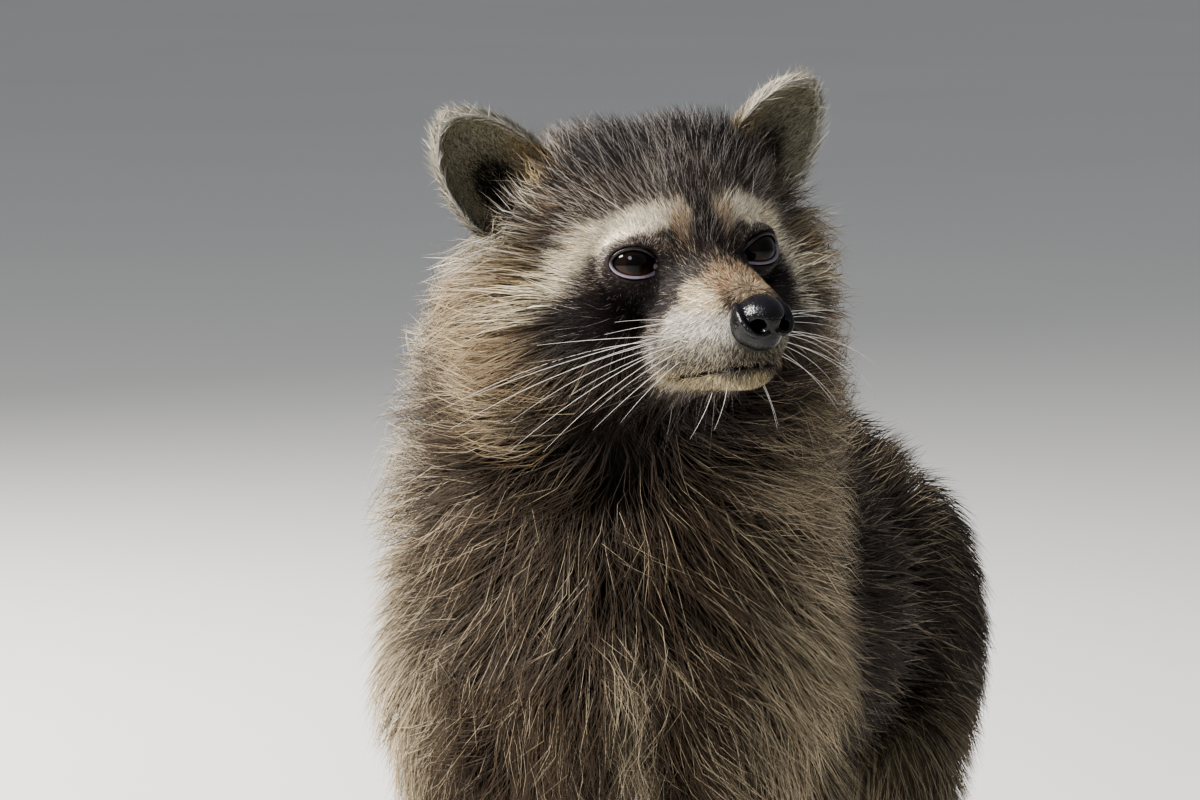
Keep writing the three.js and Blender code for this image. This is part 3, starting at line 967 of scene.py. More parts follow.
PROUD = 4  # tufts may reach this far out of the coat's outline
CLEAR = 0.9  # and are kept this far off the floor
THIN = 1.2  # where the coat is thinner than this, its tufts are no shorter
SUNK = 0.35  # how deep a tuft's root sits in the skin
SPARE = 0.62  # a tapered tuft covers this share of its width times its length
FRINGE = 2.6  # how much deeper the coat is on the rims of the ears
CROWN = 4  # and on the crown of the head


def outline(points, shapes, width):
    """The signed distance from the coat's outline over a set of shapes."""
    found = np.full(len(points), FAR)
    for shape in shapes:
        found = soft_min(found, shape.distance(points) - shape.depth(points), width)
    return found


def coat_outline(points):
    body = outline(points, BODY_SHAPES, BODY_BLEND)
    body = soft_min(body, outline(points, FEET, FEET_BLEND), FEET_BLEND)
    body = soft_min(body, outline(points, FACE, HEAD_BLEND), HEAD_BLEND)
    return soft_min(body, outline(points, FINE_SHAPES, 2), FINE_BLEND)


LEAST_COAT = 0.6
BARE_EDGE = 0.7  # the coat's depth where it meets the nose pad and the lids
NOSE_ROUND, EYE_ROUND = 9, 11  # how far these edges lie from the middles of the nose and the eye


def off_edge(away, slope, growth):
    """How deep the coat may be that far from a bare edge."""
    away = np.maximum(away, 0)
    return BARE_EDGE + slope * away + growth * away**2


def coat_depth(points, gap):
    """How deep the coat is at points that far from the skin: thin round the nose and the eyes."""
    depth = np.maximum(gap - coat_outline(points), LEAST_COAT)
    away = np.linalg.norm((HEAD.local(points) - NOSE) / NOSE_HALF, axis=1) * NOSE_ROUND - NOSE_ROUND
    depth = np.minimum(depth, off_edge(away, 0.16, 0.006))
    for eye in EYES:
        away = np.linalg.norm(points - eye.origin, axis=1) - EYE_ROUND
        depth = np.minimum(depth, off_edge(away, 0.22, 0.016))
    return depth


LIE_BLEND = 6  # how far the coat's lie on one shape goes on into the next
CHEEK_DEPTH = 8.5  # on the face, deeper coat than this is the cheeks' own
MUZZLE_BACK, MUZZLE_TOP = -36, 8  # the muzzle's hair starts here, in the head's frame
PARTING = 0.75  # how far the hair beside an eye turns away from it


def coat_facts(points):
    """For points on the skin: the coat's depth, its lie, and the name of the zone."""
    gaps = np.array([shape.distance(points) for shape in EVERYTHING])
    names = np.array([shape.lie for shape in EVERYTHING])
    weights = np.exp(-np.maximum(gaps - gaps.min(0), 0) / LIE_BLEND)
    weights /= weights.sum(0)
    lie = np.zeros_like(points)
    for name, flow in LIES.items():
        lie += weights[names == name].sum(0)[:, None] * unit(flow(points))
    zone = names[gaps.argmin(0)]
    depth = np.where(zone == "ear", Ear.coat, coat_depth(points, 0))
    zone = np.where((zone == "face") & (depth > CHEEK_DEPTH), "cheek", zone)

    depth, lie = fringe(points, zone, depth, lie)
    local = HEAD.local(points)
    crown = step_up(local[:, 2], 26, 38) * step_up(local[:, 1], -26, -4)
    depth = np.where(zone == "face", depth + CROWN * crown, depth)
    on_muzzle = (zone == "face") & (local[:, Y] < MUZZLE_BACK) & (local[:, Z] < MUZZLE_TOP)
    zone = np.where(on_muzzle, "muzzle", zone)
    for eye in EYES:
        away = points - eye.origin
        gap = np.linalg.norm(away, axis=1)
        close = (1 - step_up(gap, EYE_ROUND, EYE_ROUND + 8))[:, None]
        lie = unit(lie) * (1 - PARTING * close) + PARTING * close * unit(away)
    return depth, lie, zone


def fringe(points, zone, depth, lie):
    """Longer hair that stands out all round the rim of each ear."""
    for ear in EARS:
        local = ear.local(points)
        share = np.where((zone == "ear") & (local[:, 2] > -16), ear.rim(points), 0)
        outward = ear.frame.direction(unit(local * (1, 0, 1)) + (0, -0.5, 0.3))
        depth = depth + share * FRINGE
        lie = lie * (1 - share[:, None]) + outward * share[:, None]
    return depth, lie


SOLE = 2.2  # below this height, skin that faces down is bare
LIP = 0.25  # and so are the lips this far from the mouth's line,
PAD_EDGE = 0.6  # the skin this far round the nose pad,
LID_REACH, LID_HALF = 10.4, (9.6, 6.2)  # and the gap between the lids, as far in as it goes


def is_furred(points, normals):
    """Where hair grows: not in the gap of the eyes, on the lips, under the nose or the soles."""
    bare = (points[:, Z] < SOLE) & (normals[:, Z] < -0.3)
    bare |= MOUTH.distance(points) < LIP
    nose = (HEAD.local(points) - NOSE) / (NOSE_HALF + PAD_EDGE)
    bare |= (nose * nose).sum(1) < 1
    for eye in EYES:
        local = eye.local(points)
        gap = np.linalg.norm(local, axis=1)
        bare |= (gap < LID_REACH) & (np.hypot(*(local[:, [X, Z]] / LID_HALF).T) < 1)
    return ~bare


def scatter():
    """Random roots on the skin, so dense that each zone's tufts make its count of layers."""
    quads = skin_vertices[skin_faces]
    cross = np.cross(quads[:, 2] - quads[:, 0], quads[:, 3] - quads[:, 1])
    area = np.linalg.norm(cross, axis=1) / 2
    depth, _, zone = coat_facts(quads.mean(1))
    table = {name: (rules.layers, rules.width, rules.length) for name, rules in ZONES.items()}
    layers, width, length = np.array([table[name] for name in zone]).T
    count = area * layers / (SPARE * width * length * np.maximum(depth, THIN))
    total = np.cumsum(count)
    pick = np.searchsorted(total, np.arange(RANDOM.uniform(), total[-1], 1))
    a, b, c, d = quads[pick].transpose(1, 0, 2)
    u, v = RANDOM.uniform(size=(2, len(pick), 1))
    return (a * (1 - u) + b * u) * (1 - v) + (d * (1 - u) + c * u) * v


def flat_on(vectors, normals):
    """The directions of vectors once they are laid flat on the skin."""
    return unit(vectors - (vectors * normals).sum(1)[:, None] * normals)


class Tufts:
    """Many tufts of one zone: their roots, the paths that they follow, and the markings below."""

    def __init__(self, name, points, normals, depth, lie):
        self.roots, self.normals, self.lie, self.depth = points, normals, lie, depth
        self.rules = ZONES[name]
        if name not in ("ear", "paw"):
            # A tuft that lies over deeper coat than its root stands in is as long as that needs.
            ahead = points + flat_on(lie, normals) * depth[:, None]
            self.depth = np.maximum(depth, 0.95 * coat_depth(ahead, distance(ahead)))
        self.find_locks()
        self.grow()
        self.gather()
        self.keep_in()
        blur = RANDOM.normal(size=points.shape) * (0.5 + 0.05 * self.depth)[:, None]
        rings = range(self.path.shape[1])
        self.marked = np.stack([self.below(ring, blur) for ring in rings], axis=1)

    def below(self, ring, blur):
        """The markings of the skin below the stretch that ends at one ring of every tuft."""
        place = self.path[:, ring]
        if ring:
            place = place - 0.4 * (place - self.path[:, ring - 1])
            for _ in range(2):
                place = settled(place, np.inf)[0]
        return markings(place + blur)

    def find_locks(self):
        """Join the tufts into locks: each one follows the leader that is nearest to it."""
        count = len(self.roots)
        self.lead = np.arange(count)
        if self.rules.lock and count:
            cells = np.floor(self.roots / self.rules.lock).astype(int)
            _, leaders = np.unique(cells, axis=0, return_index=True)
            tree = KDTree(len(leaders))
            for index, leader in enumerate(leaders):
                tree.insert(self.roots[leader].tolist(), index)
            tree.balance()
            self.lead = leaders[[tree.find(root)[1] for root in self.roots.tolist()]]

    def grow(self):
        """Lay each tuft's path over the skin, rising out of it as it goes."""
        rules, count = self.rules, len(self.roots)
        rise = RANDOM.uniform(*RISE, count)
        length = np.maximum(self.depth, THIN) * rules.length * RANDOM.uniform(*LENGTHS, count)
        self.wisp = RANDOM.uniform(size=count) < rules.wisps
        rise = np.where(self.wisp, rise * 0.4 + 0.8, rise)
        length = np.where(self.wisp, length * WISP_LENGTH, length)
        sway = RANDOM.normal(0, rules.sway, (2, count))[:, self.lead]
        stray, curl = np.radians(RANDOM.normal(0, rules.stray, (2, count)) + sway)
        wave = np.radians(RANDOM.normal(0, rules.wave, (2, count)))
        wave = 0.8 * wave[0, self.lead] + 0.5 * wave[1]
        steps = max(2, rules.bends)
        point, normal = self.roots - SUNK * self.normals, self.normals
        flow = flat_on(self.lie, normal)
        path = [point]
        risen, room = np.full(count, -SUNK), self.depth
        for step in range(1, steps + 1):
            angle = stray if step == 1 else curl / (steps - 1)
            angle = (angle + WAVES[step - 1] * wave)[:, None]
            flow = flow * np.cos(angle) + np.cross(normal, flow) * np.sin(angle)
            share = step / steps
            wanted = rise * room * (1 - (1 - share) ** 1.7)
            climb = np.clip((wanted - risen) / (length / steps), *STEEPEST)[:, None]
            ahead = flow * np.sqrt(1 - climb**2) + normal * climb
            point = point + ahead * (length / steps)[:, None]
            path.append(point)
            if step < steps:
                risen, normal = distance_and_normal(point)
                flow = flat_on(flow, normal)
                if rules.lock:
                    room = np.maximum(self.depth, coat_depth(point, risen))
        if rules.bends == 1:
            path = [path[0], path[-1]]
        self.path = np.stack(path, axis=1)

    def keep_in(self):
        """Shorten the tufts that reach far out of the coat, and lift them off the floor."""
        root, tip = self.path[:, 0], self.path[:, -1]
        proud = coat_outline(tip) - PROUD
        excess = np.clip(proud / np.linalg.norm(tip - root, axis=1), 0, 0.6)
        self.path = root[:, None] + (self.path - root[:, None]) * (1 - excess)[:, None, None]
        self.path[:, :, 2] = np.maximum(self.path[:, :, 2], CLEAR)

    def gather(self):
        """Draw each tuft's tip towards the tip of the tuft that leads its lock."""
        bends = self.path.shape[1] - 1
        pull = self.rules.gather * (np.arange(bends + 1) / bends) ** 1.3
        luck = RANDOM.uniform(0.4, 1.3, (len(self.lead), 1, 1))
        self.path = self.path + (self.path[self.lead] - self.path) * pull[None, :, None] * luck


WARM_SHARE, WARM = 0.3, (0.6, 0.54, 0.47)  # some tufts are darker and browner
DARK_SHARE = 0.3  # the most tufts that have dark tips, where the zone doesn't ask for more
OWN_TIP = 0.25  # a pale or dark tip keeps this share of the colour it grows out of
LOCK_TONE = 0.16  # how much the locks differ in brightness


def shades(tufts):
    """Each tuft's colours from root to tip: dark wool with painted shade, the marking's colour,
    then its own tip.
    """
    count, rings = len(tufts.roots), tufts.path.shape[1]
    share = np.linspace(0, 1, rings)
    tone = np.exp(RANDOM.normal(0, tufts.rules.tone, count))[:, None]
    warm = (RANDOM.uniform(size=count) < WARM_SHARE)[:, None]
    tone = np.where(warm, tone * WARM, tone)
    tone = tone * np.exp(RANDOM.normal(0, LOCK_TONE, count))[tufts.lead][:, None]
    main = tufts.marked * tone[:, None]
    outer = main[:, -1]
    bright = outer.mean(1)
    luck = RANDOM.uniform(size=count)
    grizzled = np.clip(1.6 - np.abs(np.log(np.maximum(bright, 1e-3) / 0.12)), 0.1, 1)
    # More pale tips on the crown: partly its grizzled hair and partly a painted highlight.
    local = HEAD.local(tufts.roots)
    crown = step_up(local[:, 2], 22, 30) * step_up(-local[:, 1], -34, -8)
    grizzled = np.maximum(grizzled, 0.42 * crown)
    tip = outer * 1.3
    pale = luck < tufts.rules.pale * grizzled
    dark = luck > 1 - np.maximum(DARK_SHARE * grizzled, tufts.rules.specks)
    frost = np.array(tufts.rules.frost)
    tip = np.where(pale[:, None], tip * OWN_TIP + frost * (1 - OWN_TIP), tip)
    tip = np.where(dark[:, None], tip * OWN_TIP + BLACK, tip)
    # Roots are darker, and more so in deep coat: partly the dark wool and partly painted shade
    # between the tufts.
    long = step_up(tufts.depth, 2, 12)[:, None]
    colours = np.empty((count, rings, 3))
    for ring, s in enumerate(share):
        roots = tufts.rules.roots - 0.5 * long
        lit = min(1, s / 0.5)
        dim = roots * (1 - lit) + lit
        low = main[:, ring] * dim
        mix = max(step_up(np.array(s), 0.35, 0.95), 0.25 if rings == 2 else 0)
        colours[:, ring] = low + (tip - low) * mix
    return colours


CORNERS = np.array([(1, -0.35), (-1, -0.35), (0, 0.6)]) / 2  # a tuft's section
PATCH = 0.003  # a tuft's patch on the unwrap


def needle(rings):
    """The faces of one tuft: its base, its sides and, last, those round its tip."""
    faces = [(2, 1, 0)]
    for ring in range(rings - 2):
        for c in range(3):
            a, b = 3 * ring + c, 3 * ring + (c + 1) % 3
            faces += [(a, b, b + 3), (a, b + 3, a + 3)]
    last, tip = 3 * (rings - 2), 3 * (rings - 1)
    return np.array(faces + [(last + c, last + (c + 1) % 3, tip) for c in range(3)])


def patch(rings):
    """Where one tuft's vertices lie on its patch: the tip in the middle, the base outside."""
    turns = np.array([0, 1, 2]) * 2 * math.pi / 3
    spots = [
        (1 - ring / rings) * np.array([math.cos(t), math.sin(t)])
        for ring in range(rings - 1)
        for t in turns
    ]
    return np.array([*spots, (0, 0)]) * PATCH / 2


def tuft_mesh(tufts, unwrap):
    """Closed three-sided needles along the tufts' paths, with colours, normals and OFBake."""
    path = tufts.path
    count, rings = path.shape[:2]
    ahead = np.diff(path, axis=1)
    ahead = np.concatenate([ahead, ahead[:, -1:]], axis=1)
    up = tufts.normals[:, None]
    square = np.maximum((ahead * ahead).sum(2, keepdims=True), 1e-9)
    up = unit(up - (up * ahead).sum(2, keepdims=True) / square * ahead)
    across = unit(np.cross(ahead, up))
    taper = np.interp(np.linspace(0, 1, rings), [0, 0.35, 0.75, 1], [0.8, 1, 0.62, 0])
    width = tufts.rules.width * RANDOM.uniform(*WIDTHS, count)
    width = width * np.where(tufts.wisp, WISP_WIDTH, 1)
    body, shading = [], []
    for ring in range(rings - 1):
        for x, y in CORNERS:
            radial = across[:, ring] * x + up[:, ring] * y
            body.append(path[:, ring] + radial * (width * taper[ring])[:, None])
            shading.append(unit(0.55 * up[:, ring] + 0.45 * unit(radial)))
    vertices = np.stack([*body, path[:, -1]], axis=1)
    normals = np.stack([*shading, up[:, -1]], axis=1)
    colours = shades(tufts)
    colours = np.concatenate([np.repeat(colours[:, :-1], 3, axis=1), colours[:, -1:]], axis=1)
    size = vertices.shape[1]
    faces = needle(rings)[None] + (np.arange(count) * size)[:, None, None]
    uv = unwrap(tufts.roots)[:, None] * (1 - PATCH) + PATCH / 2 + patch(rings)[None]
    return [faces.reshape(-1, 3)] + [
        part.reshape(-1, part.shape[2]) for part in (vertices, normals, colours, uv)
    ]


# Where the legs stand: the middle of the pair, how far out each is, and how far along the body.
FORELEGS, HINDLEGS = (0, 50, -118), (RUMP_X, 57, 118)
LIMB_TOP = 250  # the height of the unwrap of a limb
EAR_TILE = (52, 80)  # the width and height of an ear's part of its unwrap


def wrap_round(points, frame_, low, high):
    """An unwrap round the frame's Y axis: the angle, and the place along it."""
    local = frame_.local(points)
    angle = np.arctan2(local[:, 0], local[:, 2]) / (2 * math.pi) + 0.5
    return np.stack([angle, np.clip((local[:, 1] - low) / (high - low), 0, 1)], axis=1)


def wrap_limbs(points):
    """An unwrap of four upright limbs, side by side: the angle round each, and the height."""
    front = points[:, 1] < -20
    middle, out, along = np.where(front[:, None], FORELEGS, HINDLEGS).T
    left = points[:, 0] > middle
    x = points[:, 0] - np.where(left, 1, -1) * out - middle
    angle = np.arctan2(x, points[:, 1] - along) / (2 * math.pi) + 0.5
    height = np.clip(points[:, 2] / LIMB_TOP, 0, 1)
    return np.stack([(front * 2 + left + angle) / 4, height], axis=1)


def wrap_ears(points):
    """An unwrap of the ears in four tiles: the hollow and the back of each."""
    found = np.zeros((len(points), 2))
    for ear in EARS:
        mine = ear.owns(points)
        local = ear.local(points[mine])
        tile = (ear.side > 0) * 2 + (local[:, 1] > 0)
        u, v = np.clip(local[:, [0, 2]] / EAR_TILE + 0.5, 0, 1).T
        found[mine] = np.stack([(tile + u) / 4, v], axis=1)
    return found


def wrap_tail(points):
    """An unwrap of the tail: the angle round its middle line, and the share of its length."""
    x, z = (np.interp(points[:, Y], TAIL_PLACES[:, Y], TAIL_PLACES[:, axis]) for axis in (X, Z))
    angle = np.arctan2(points[:, 0] - x, points[:, 2] - z)
    _, share = tail_rings(points)
    return np.stack([angle / (2 * math.pi) + 0.5, np.clip(share, 0, 1)], axis=1)


SKULL = HEAD.child((0, 0, -8), np.eye(3))
NECK, BARREL = Frame((2, 0, 250)), Frame((0, 0, 160))

# The coat's pieces: the zones in each, its unwrap and its slot.
PIECES = {
    "fur_muzzle": (["muzzle"], lambda p: wrap_round(p, SKULL, -80, -30), "coat_face"),
    "fur_face": (["face"], lambda p: wrap_round(p, SKULL, -60, 60), "coat_face"),
    "fur_cheeks": (["cheek"], lambda p: wrap_round(p, SKULL, -40, 60), "coat_ruff"),
    "fur_neck": (["neck"], lambda p: wrap_round(p, NECK, -200, -80), "coat_ruff"),
    "fur_chest": (["chest"], lambda p: wrap_round(p, BARREL, -190, -90), "coat_grizzled"),
    "fur_sides": (
        ["flank", "shoulder"], lambda p: wrap_round(p, BARREL, -170, 200), "coat_grizzled",
    ),
    "fur_legs": (["leg", "thigh"], wrap_limbs, "coat_legs"),
    "fur_paws": (["paw"], wrap_limbs, "coat_feet"),
    "fur_tail": (["tail"], wrap_tail, "coat_tail"),
    "fur_ears": (["ear"], wrap_ears, "coat_ear"),
}
MOST = 190000  # triangles in one piece of the coat
NEAR_SKIN = 0.8  # roots are moved no farther than this onto the skin


def make_coat(material):
    """All the tufts, in pieces by zone, each made in parts that stay within the triangle limit."""
    roots, normals = settled(scatter(), NEAR_SKIN)
    keep = is_furred(roots, normals)
    roots, normals = roots[keep], normals[keep]
    depth, lie, zone = coat_facts(roots)
    print("tufts", len(roots))
    for name, (zones, unwrap, slot_) in PIECES.items():
        parts = []
        for zone_name in zones:
            mine = zone == zone_name
            tufts = Tufts(zone_name, roots[mine], normals[mine], depth[mine], lie[mine])
            parts.append(tuft_mesh(tufts, unwrap))
        starts = np.cumsum([0] + [len(part[1]) for part in parts])
        faces = np.concatenate([part[0] + start for part, start in zip(parts, starts)])
        others = [np.concatenate([part[i] for part in parts]) for i in (1, 2, 3, 4)]
        print(name, len(faces))
        count = -(-len(faces) // MOST)
        per_tuft = len(needle(tufts.path.shape[1]))
        for number, (part, *facts) in enumerate(shares(faces, others, count, per_tuft), 1):
            add_fur(f"{name}_{number}" if count > 1 else name, part, *facts, material, slot_)


def shares(faces, others, count, per_tuft):
    """A mesh of tufts in a number of nearly equal shares, cut between whole tufts."""
    edges = np.linspace(0, len(faces), count + 1).astype(int)
    edges[1:-1] -= edges[1:-1] % per_tuft
    for low, high in zip(edges, edges[1:]):
        part = faces[low:high]
        first, last = part.min(), part.max() + 1
        yield part - first, *[other[first:last] for other in others]


def add_fur(name, faces, vertices, normals, colours, uv, material, slot_):
    piece = new_object(name, vertices, faces, material, colours, normals)
    layer = piece.data.uv_layers.new(name="OFBake")
    layer.data.foreach_set("uv", uv[faces.ravel()].astype(np.float32).ravel())


# ---------------------------------------------------------------- eyes, lids, nose, claws


def tube(rings):
    """A closed triangle mesh over rings of points, each ring turning to the left as it advances."""
    count, around = rings.shape[:2]
    ring, step = np.meshgrid(np.arange(count - 1), np.arange(around), indexing="ij")
    a = (ring * around + step).ravel()
    b = (ring * around + (step + 1) % around).ravel()
    sides = np.concatenate([
        np.stack([a, b, b + around], axis=1),
        np.stack([a, b + around, a + around], axis=1),
    ])
    here = np.arange(around)
    after = (here + 1) % around
    start, last = count * around, (count - 1) * around
    caps = np.concatenate([
        np.stack([np.full(around, start), after, here], axis=1),
        np.stack([np.full(around, start + 1), last + here, last + after], axis=1),
    ])
    ends = np.stack([rings[0].mean(0), rings[-1].mean(0)])
    return np.concatenate([rings.reshape(-1, 3), ends]), np.concatenate([sides, caps])


def joined(meshes):
    """One mesh of several, each given as its vertices and faces."""
    starts = np.cumsum([0] + [len(vertices) for vertices, _ in meshes])
    return (
        np.concatenate([vertices for vertices, _ in meshes]),
        np.concatenate([faces + start for (_, faces), start in zip(meshes, starts)]),
    )


def circle(count):
    """Angles evenly round a circle."""
    return np.arange(count) * 2 * math.pi / count


def swept(path, radii, around, flat=1.0):
    """A tube along a path, as thick as the radii say, flattened upwards by a share."""
    path = np.asarray(path, float)
    ahead = unit(np.gradient(path, axis=0))
    side = unit(np.cross(ahead, np.tile((0.0, 0.1, 1.0), (len(path), 1))))
    up = np.cross(side, ahead)
    angle = circle(around)[:, None, None]
    ring = np.cos(angle) * side * flat + np.sin(angle) * up
    return tube((path + ring * np.asarray(radii)[None, :, None]).transpose(1, 0, 2)[:, ::-1])


def egg_rings(radii, angles, around):
    """Rings round the Y axis of an egg, from its back to its front."""
    turns = circle(around)
    width, depth, height = (np.asarray(radius) for radius in radii)
    return np.stack([
        (width * np.sin(angles))[:, None] * np.cos(turns),
        np.repeat(-(depth * np.cos(angles))[:, None], around, axis=1),
        (height * np.sin(angles))[:, None] * np.sin(turns),
    ], axis=-1)


# The amber in the lower iris is partly its own colour and partly painted light that falls in
# through the cornea from above.
IRIS, AMBER = linear(25, 16, 12), linear(64, 41, 27)
PUPIL, LIMBUS, WHITE_OF_EYE = linear(8, 6, 7), linear(16, 11, 11), linear(58, 42, 38)
PUPIL_EDGE, IRIS_EDGE, CORNEA = 0.34, 0.86, 0.7  # angles from the gaze, in radians
CORNEA_BULGE = 0.5
SPOKES, SPOKE_DEPTH = 31, 0.12


def make_eye(frame_, name, material):
    angle = np.linspace(math.pi - 0.02, 0.02, 48)
    radius = EYE_RADIUS + CORNEA_BULGE * np.maximum(1 - (angle / CORNEA) ** 2, 0) ** 2
    vertices, faces = tube(egg_rings([radius] * 3, angle, 64))
    local = unit(vertices)
    off_gaze = np.arccos(np.clip(-local[:, 1], -1, 1))
    spokes = np.sin(np.arctan2(local[:, 2], local[:, 0]) * SPOKES) * SPOKE_DEPTH
    # The lower iris is amber: partly its own colour and partly painted light.
    colour = layered(
        IRIS,
        (AMBER, step_up(-local[:, 2], 0.05, 0.5) * (0.8 + spokes)),
        (PUPIL, 1 - step_up(off_gaze, PUPIL_EDGE, PUPIL_EDGE + 0.05)),
        (LIMBUS, step_up(off_gaze, IRIS_EDGE - 0.1, IRIS_EDGE)),
        (WHITE_OF_EYE, step_up(off_gaze, IRIS_EDGE + 0.15, IRIS_EDGE + 0.3)),
    )
    ball = new_object(f"eyeball_{name}", frame_.world(vertices), faces, material, colour)
    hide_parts(f"eye_{name}")


# The lower rim's pale lilac is partly its own colour and partly a painted highlight on its wet
# edge.
LILAC, LID, BEAD = linear(130, 121, 133), linear(30, 24, 25), linear(112, 92, 98)
# How far the lids' gap reaches from the gaze: to its corners, up and down. The inner corner goes
# on farther, and a bead lies in it.
LID_OUT, LID_UP, LID_DOWN = (math.radians(angle) for angle in (60, 36, 30))
INNER_OUT, INNER_DOWN = math.radians(20), math.radians(6)
BEAD_OUT, BEAD_DOWN = math.radians(66), math.radians(6)
LID_THICK = 0.62


def lid_mesh(side, frame_):
    """The rim of both lids round one eye, drawn out to a corner by the nose."""
    count, around = 112, 12
    t = circle(count)
    inner = np.clip(-side * np.cos(t), 0, 1)
    across = LID_OUT * np.cos(t) - side * INNER_OUT * inner**5
    tall = np.where(np.sin(t) > 0, LID_UP, LID_DOWN)
    height = tall * np.sign(np.sin(t)) * np.abs(np.sin(t)) ** 1.15 - INNER_DOWN * inner**2
    out = aimed(across, height)
    path = out * (EYE_RADIUS + LID_THICK + 0.5 * inner**6)[:, None]
    ahead = unit(np.roll(path, -1, axis=0) - np.roll(path, 1, axis=0))
    away = unit(np.cross(ahead, out))
    lower = step_up(-np.sin(t), -0.25, 0.25)
    half = LID_THICK - 0.18 * lower + 0.55 * inner**4
    turns = circle(around)
    rings = path[:, None] + (
        out[:, None] * np.cos(turns)[None, :, None] * 0.75
        + away[:, None] * (np.sin(turns)[None] * half[:, None])[:, :, None]
    )
    ring, step = np.meshgrid(np.arange(count), np.arange(around), indexing="ij")
    a, b = ring * around + step, ring * around + (step + 1) % around
    c, d = (ring + 1) % count * around + (step + 1) % around, (ring + 1) % count * around + step
    faces = np.stack([a, b, c, d], axis=-1).reshape(-1, 4)
    faces = np.concatenate([faces[:, [0, 1, 2]], faces[:, [0, 2, 3]]])
    # The lower rim and the inner corner are pale lilac: on the lower rim, partly its own colour and
    # partly a painted highlight.
    pale = np.maximum(lower * 0.85, step_up(inner, 0.8, 0.98))
    colour = layered(LID, (LILAC, np.repeat(pale, around)))
    return frame_.world(rings.reshape(-1, 3)), faces, colour


def corner_mesh(side, frame_):
    """The small pink bead in the inner corner of the eye."""
    angle = np.linspace(math.pi - 0.05, 0.05, 12)
    vertices, faces = tube(egg_rings((2.0, 1.3, 1.25), angle, 16))
    vertices = vertices + aimed(-side * BEAD_OUT, -BEAD_DOWN) * (EYE_RADIUS + 0.1)
    return frame_.world(vertices), faces, np.tile(BEAD, (len(vertices), 1))


def make_lids(material):
    parts = []
    for side, frame_ in zip(SIDES, EYES):
        parts += [lid_mesh(side, frame_), corner_mesh(side, frame_)]
    vertices, faces = joined([part[:2] for part in parts])
    colours = np.concatenate([part[2] for part in parts])
    lids = new_object("eyelids", vertices, faces, material, colours)


# Paths on the left half of the nose: into its nostril, along the slit at its side, and along the
# wing's edge, which curls under the nostril. The groove below runs down the middle.
NOSTRIL = [(3.6, 1.0, 0.4), (5.4, -5.0, -0.9), (5.6, -9.5, -1.4)]
SLIT = [(6.6, -8.2, -0.9), (8.6, -6.8, 0.6), (9.9, -5.0, 2.2), (10.4, -2.4, 4.6)]
WING = [
    (9.0, 2.0, 7.0), (10.2, -1.0, 4.0), (10.2, -3.2, 0.6), (9.2, -4.8, -2.0), (7.2, -6.4, -3.9),
    (4.4, -7.8, -4.5), (2.2, -8.4, -4.2),
]
PHILTRUM = [(0, -10.6, -1.6), (0, -9.6, -5.6), (0, -6.4, -12)]
NOSE_ROOM, NOSE_CELL = 14.5, 0.52  # how far the nose's grid reaches, and its step


def nose_field(points, low, high):
    """The bare nose: a bulb, the wings that curl under comma-shaped nostrils, and a groove."""
    local = NOSE_FRAME.local(points) / NOSE_SCALE
    local[:, 0] = np.abs(local[:, 0])
    found = to_ellipsoid(local - (0, 0, 1.6), np.array([8.8, 9.4, 8.6]))
    found = soft_min(found, to_ellipsoid(local - (5.4, 2.4, -0.6), np.array([5.6, 7.0, 7.6])), 2)
    found = soft_min(found, to_ellipsoid(local - (0, 1.0, -5.0), np.array([7.4, 8.2, 6.0])), 1.6)
    found = soft_max(found, (1 - nearest_on(local, SLIT, [1.7, 1.4, 1.1, 0.8])) * 1.3, 1.0)
    wing = nearest_on(local, WING, [1.0, 1.4, 1.6, 1.7, 1.6, 1.4, 0.8])
    found = soft_min(found, (wing - 1) * 1.5, 1.0)
    found = soft_max(found, (1 - nearest_on(local, NOSTRIL, [1.6, 2.3, 2.7])) * 2.2, 0.7)
    return soft_max(found, (1 - nearest_on(local, PHILTRUM, [0.7, 0.8, 0.9])) * 0.8, 0.8)


def make_nose(material):
    axes = [np.arange(at - NOSE_ROOM, at + NOSE_ROOM, NOSE_CELL) for at in HEAD.world(NOSE)]
    vertices, faces = surface_net(on_grid(nose_field, axes), axes)
    local = NOSE_FRAME.local(vertices) / NOSE_SCALE
    height = local[:, 2].copy()
    local[:, 0] = np.abs(local[:, 0])
    deep = nearest_on(local, NOSTRIL, [1.8, 2.3, 2.6])
    # The top of the pad is painted lighter as a painted highlight, and the nostrils darker as
    # painted shade in them.
    colour = layered(
        linear(15, 13, 15),
        (linear(32, 30, 37), step_up(height, 1, 7) * 0.7),
        (linear(6, 5, 6), 1 - step_up(deep, 0.9, 1.3)),
    )
    nose = new_object("nose_pad", vertices, faces, material, colour)
    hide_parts("nose")


CLAW_LENGTH, CLAW_INSIDE, CLAW_THICK = 11, 1.5, 1.75


def claw_mesh(digit):
    """A claw from inside the tip of its digit, arched and bent down to a fine point."""
    share = np.linspace(0, 1, 9)
    reach = CLAW_LENGTH * share - CLAW_INSIDE
    lift = 0.9 + 1.0 * np.sin(share * math.pi * 0.7) - 3.2 * share**2
    path = digit.end + reach[:, None] * digit.outward
    path[:, 2] = np.maximum(digit.end[2] + lift, 0.55)
    return swept(path, CLAW_THICK * (1 - share**1.6) + 0.22, 10, flat=0.72)


def make_claws(material):
    for name, digits in (("fore", FINGERS), ("hind", TOES)):
        vertices, faces = joined([claw_mesh(digit) for digit in digits])
        claws = new_object(f"claws_{name}", vertices, faces, material)


# ---------------------------------------------------------------- whiskers

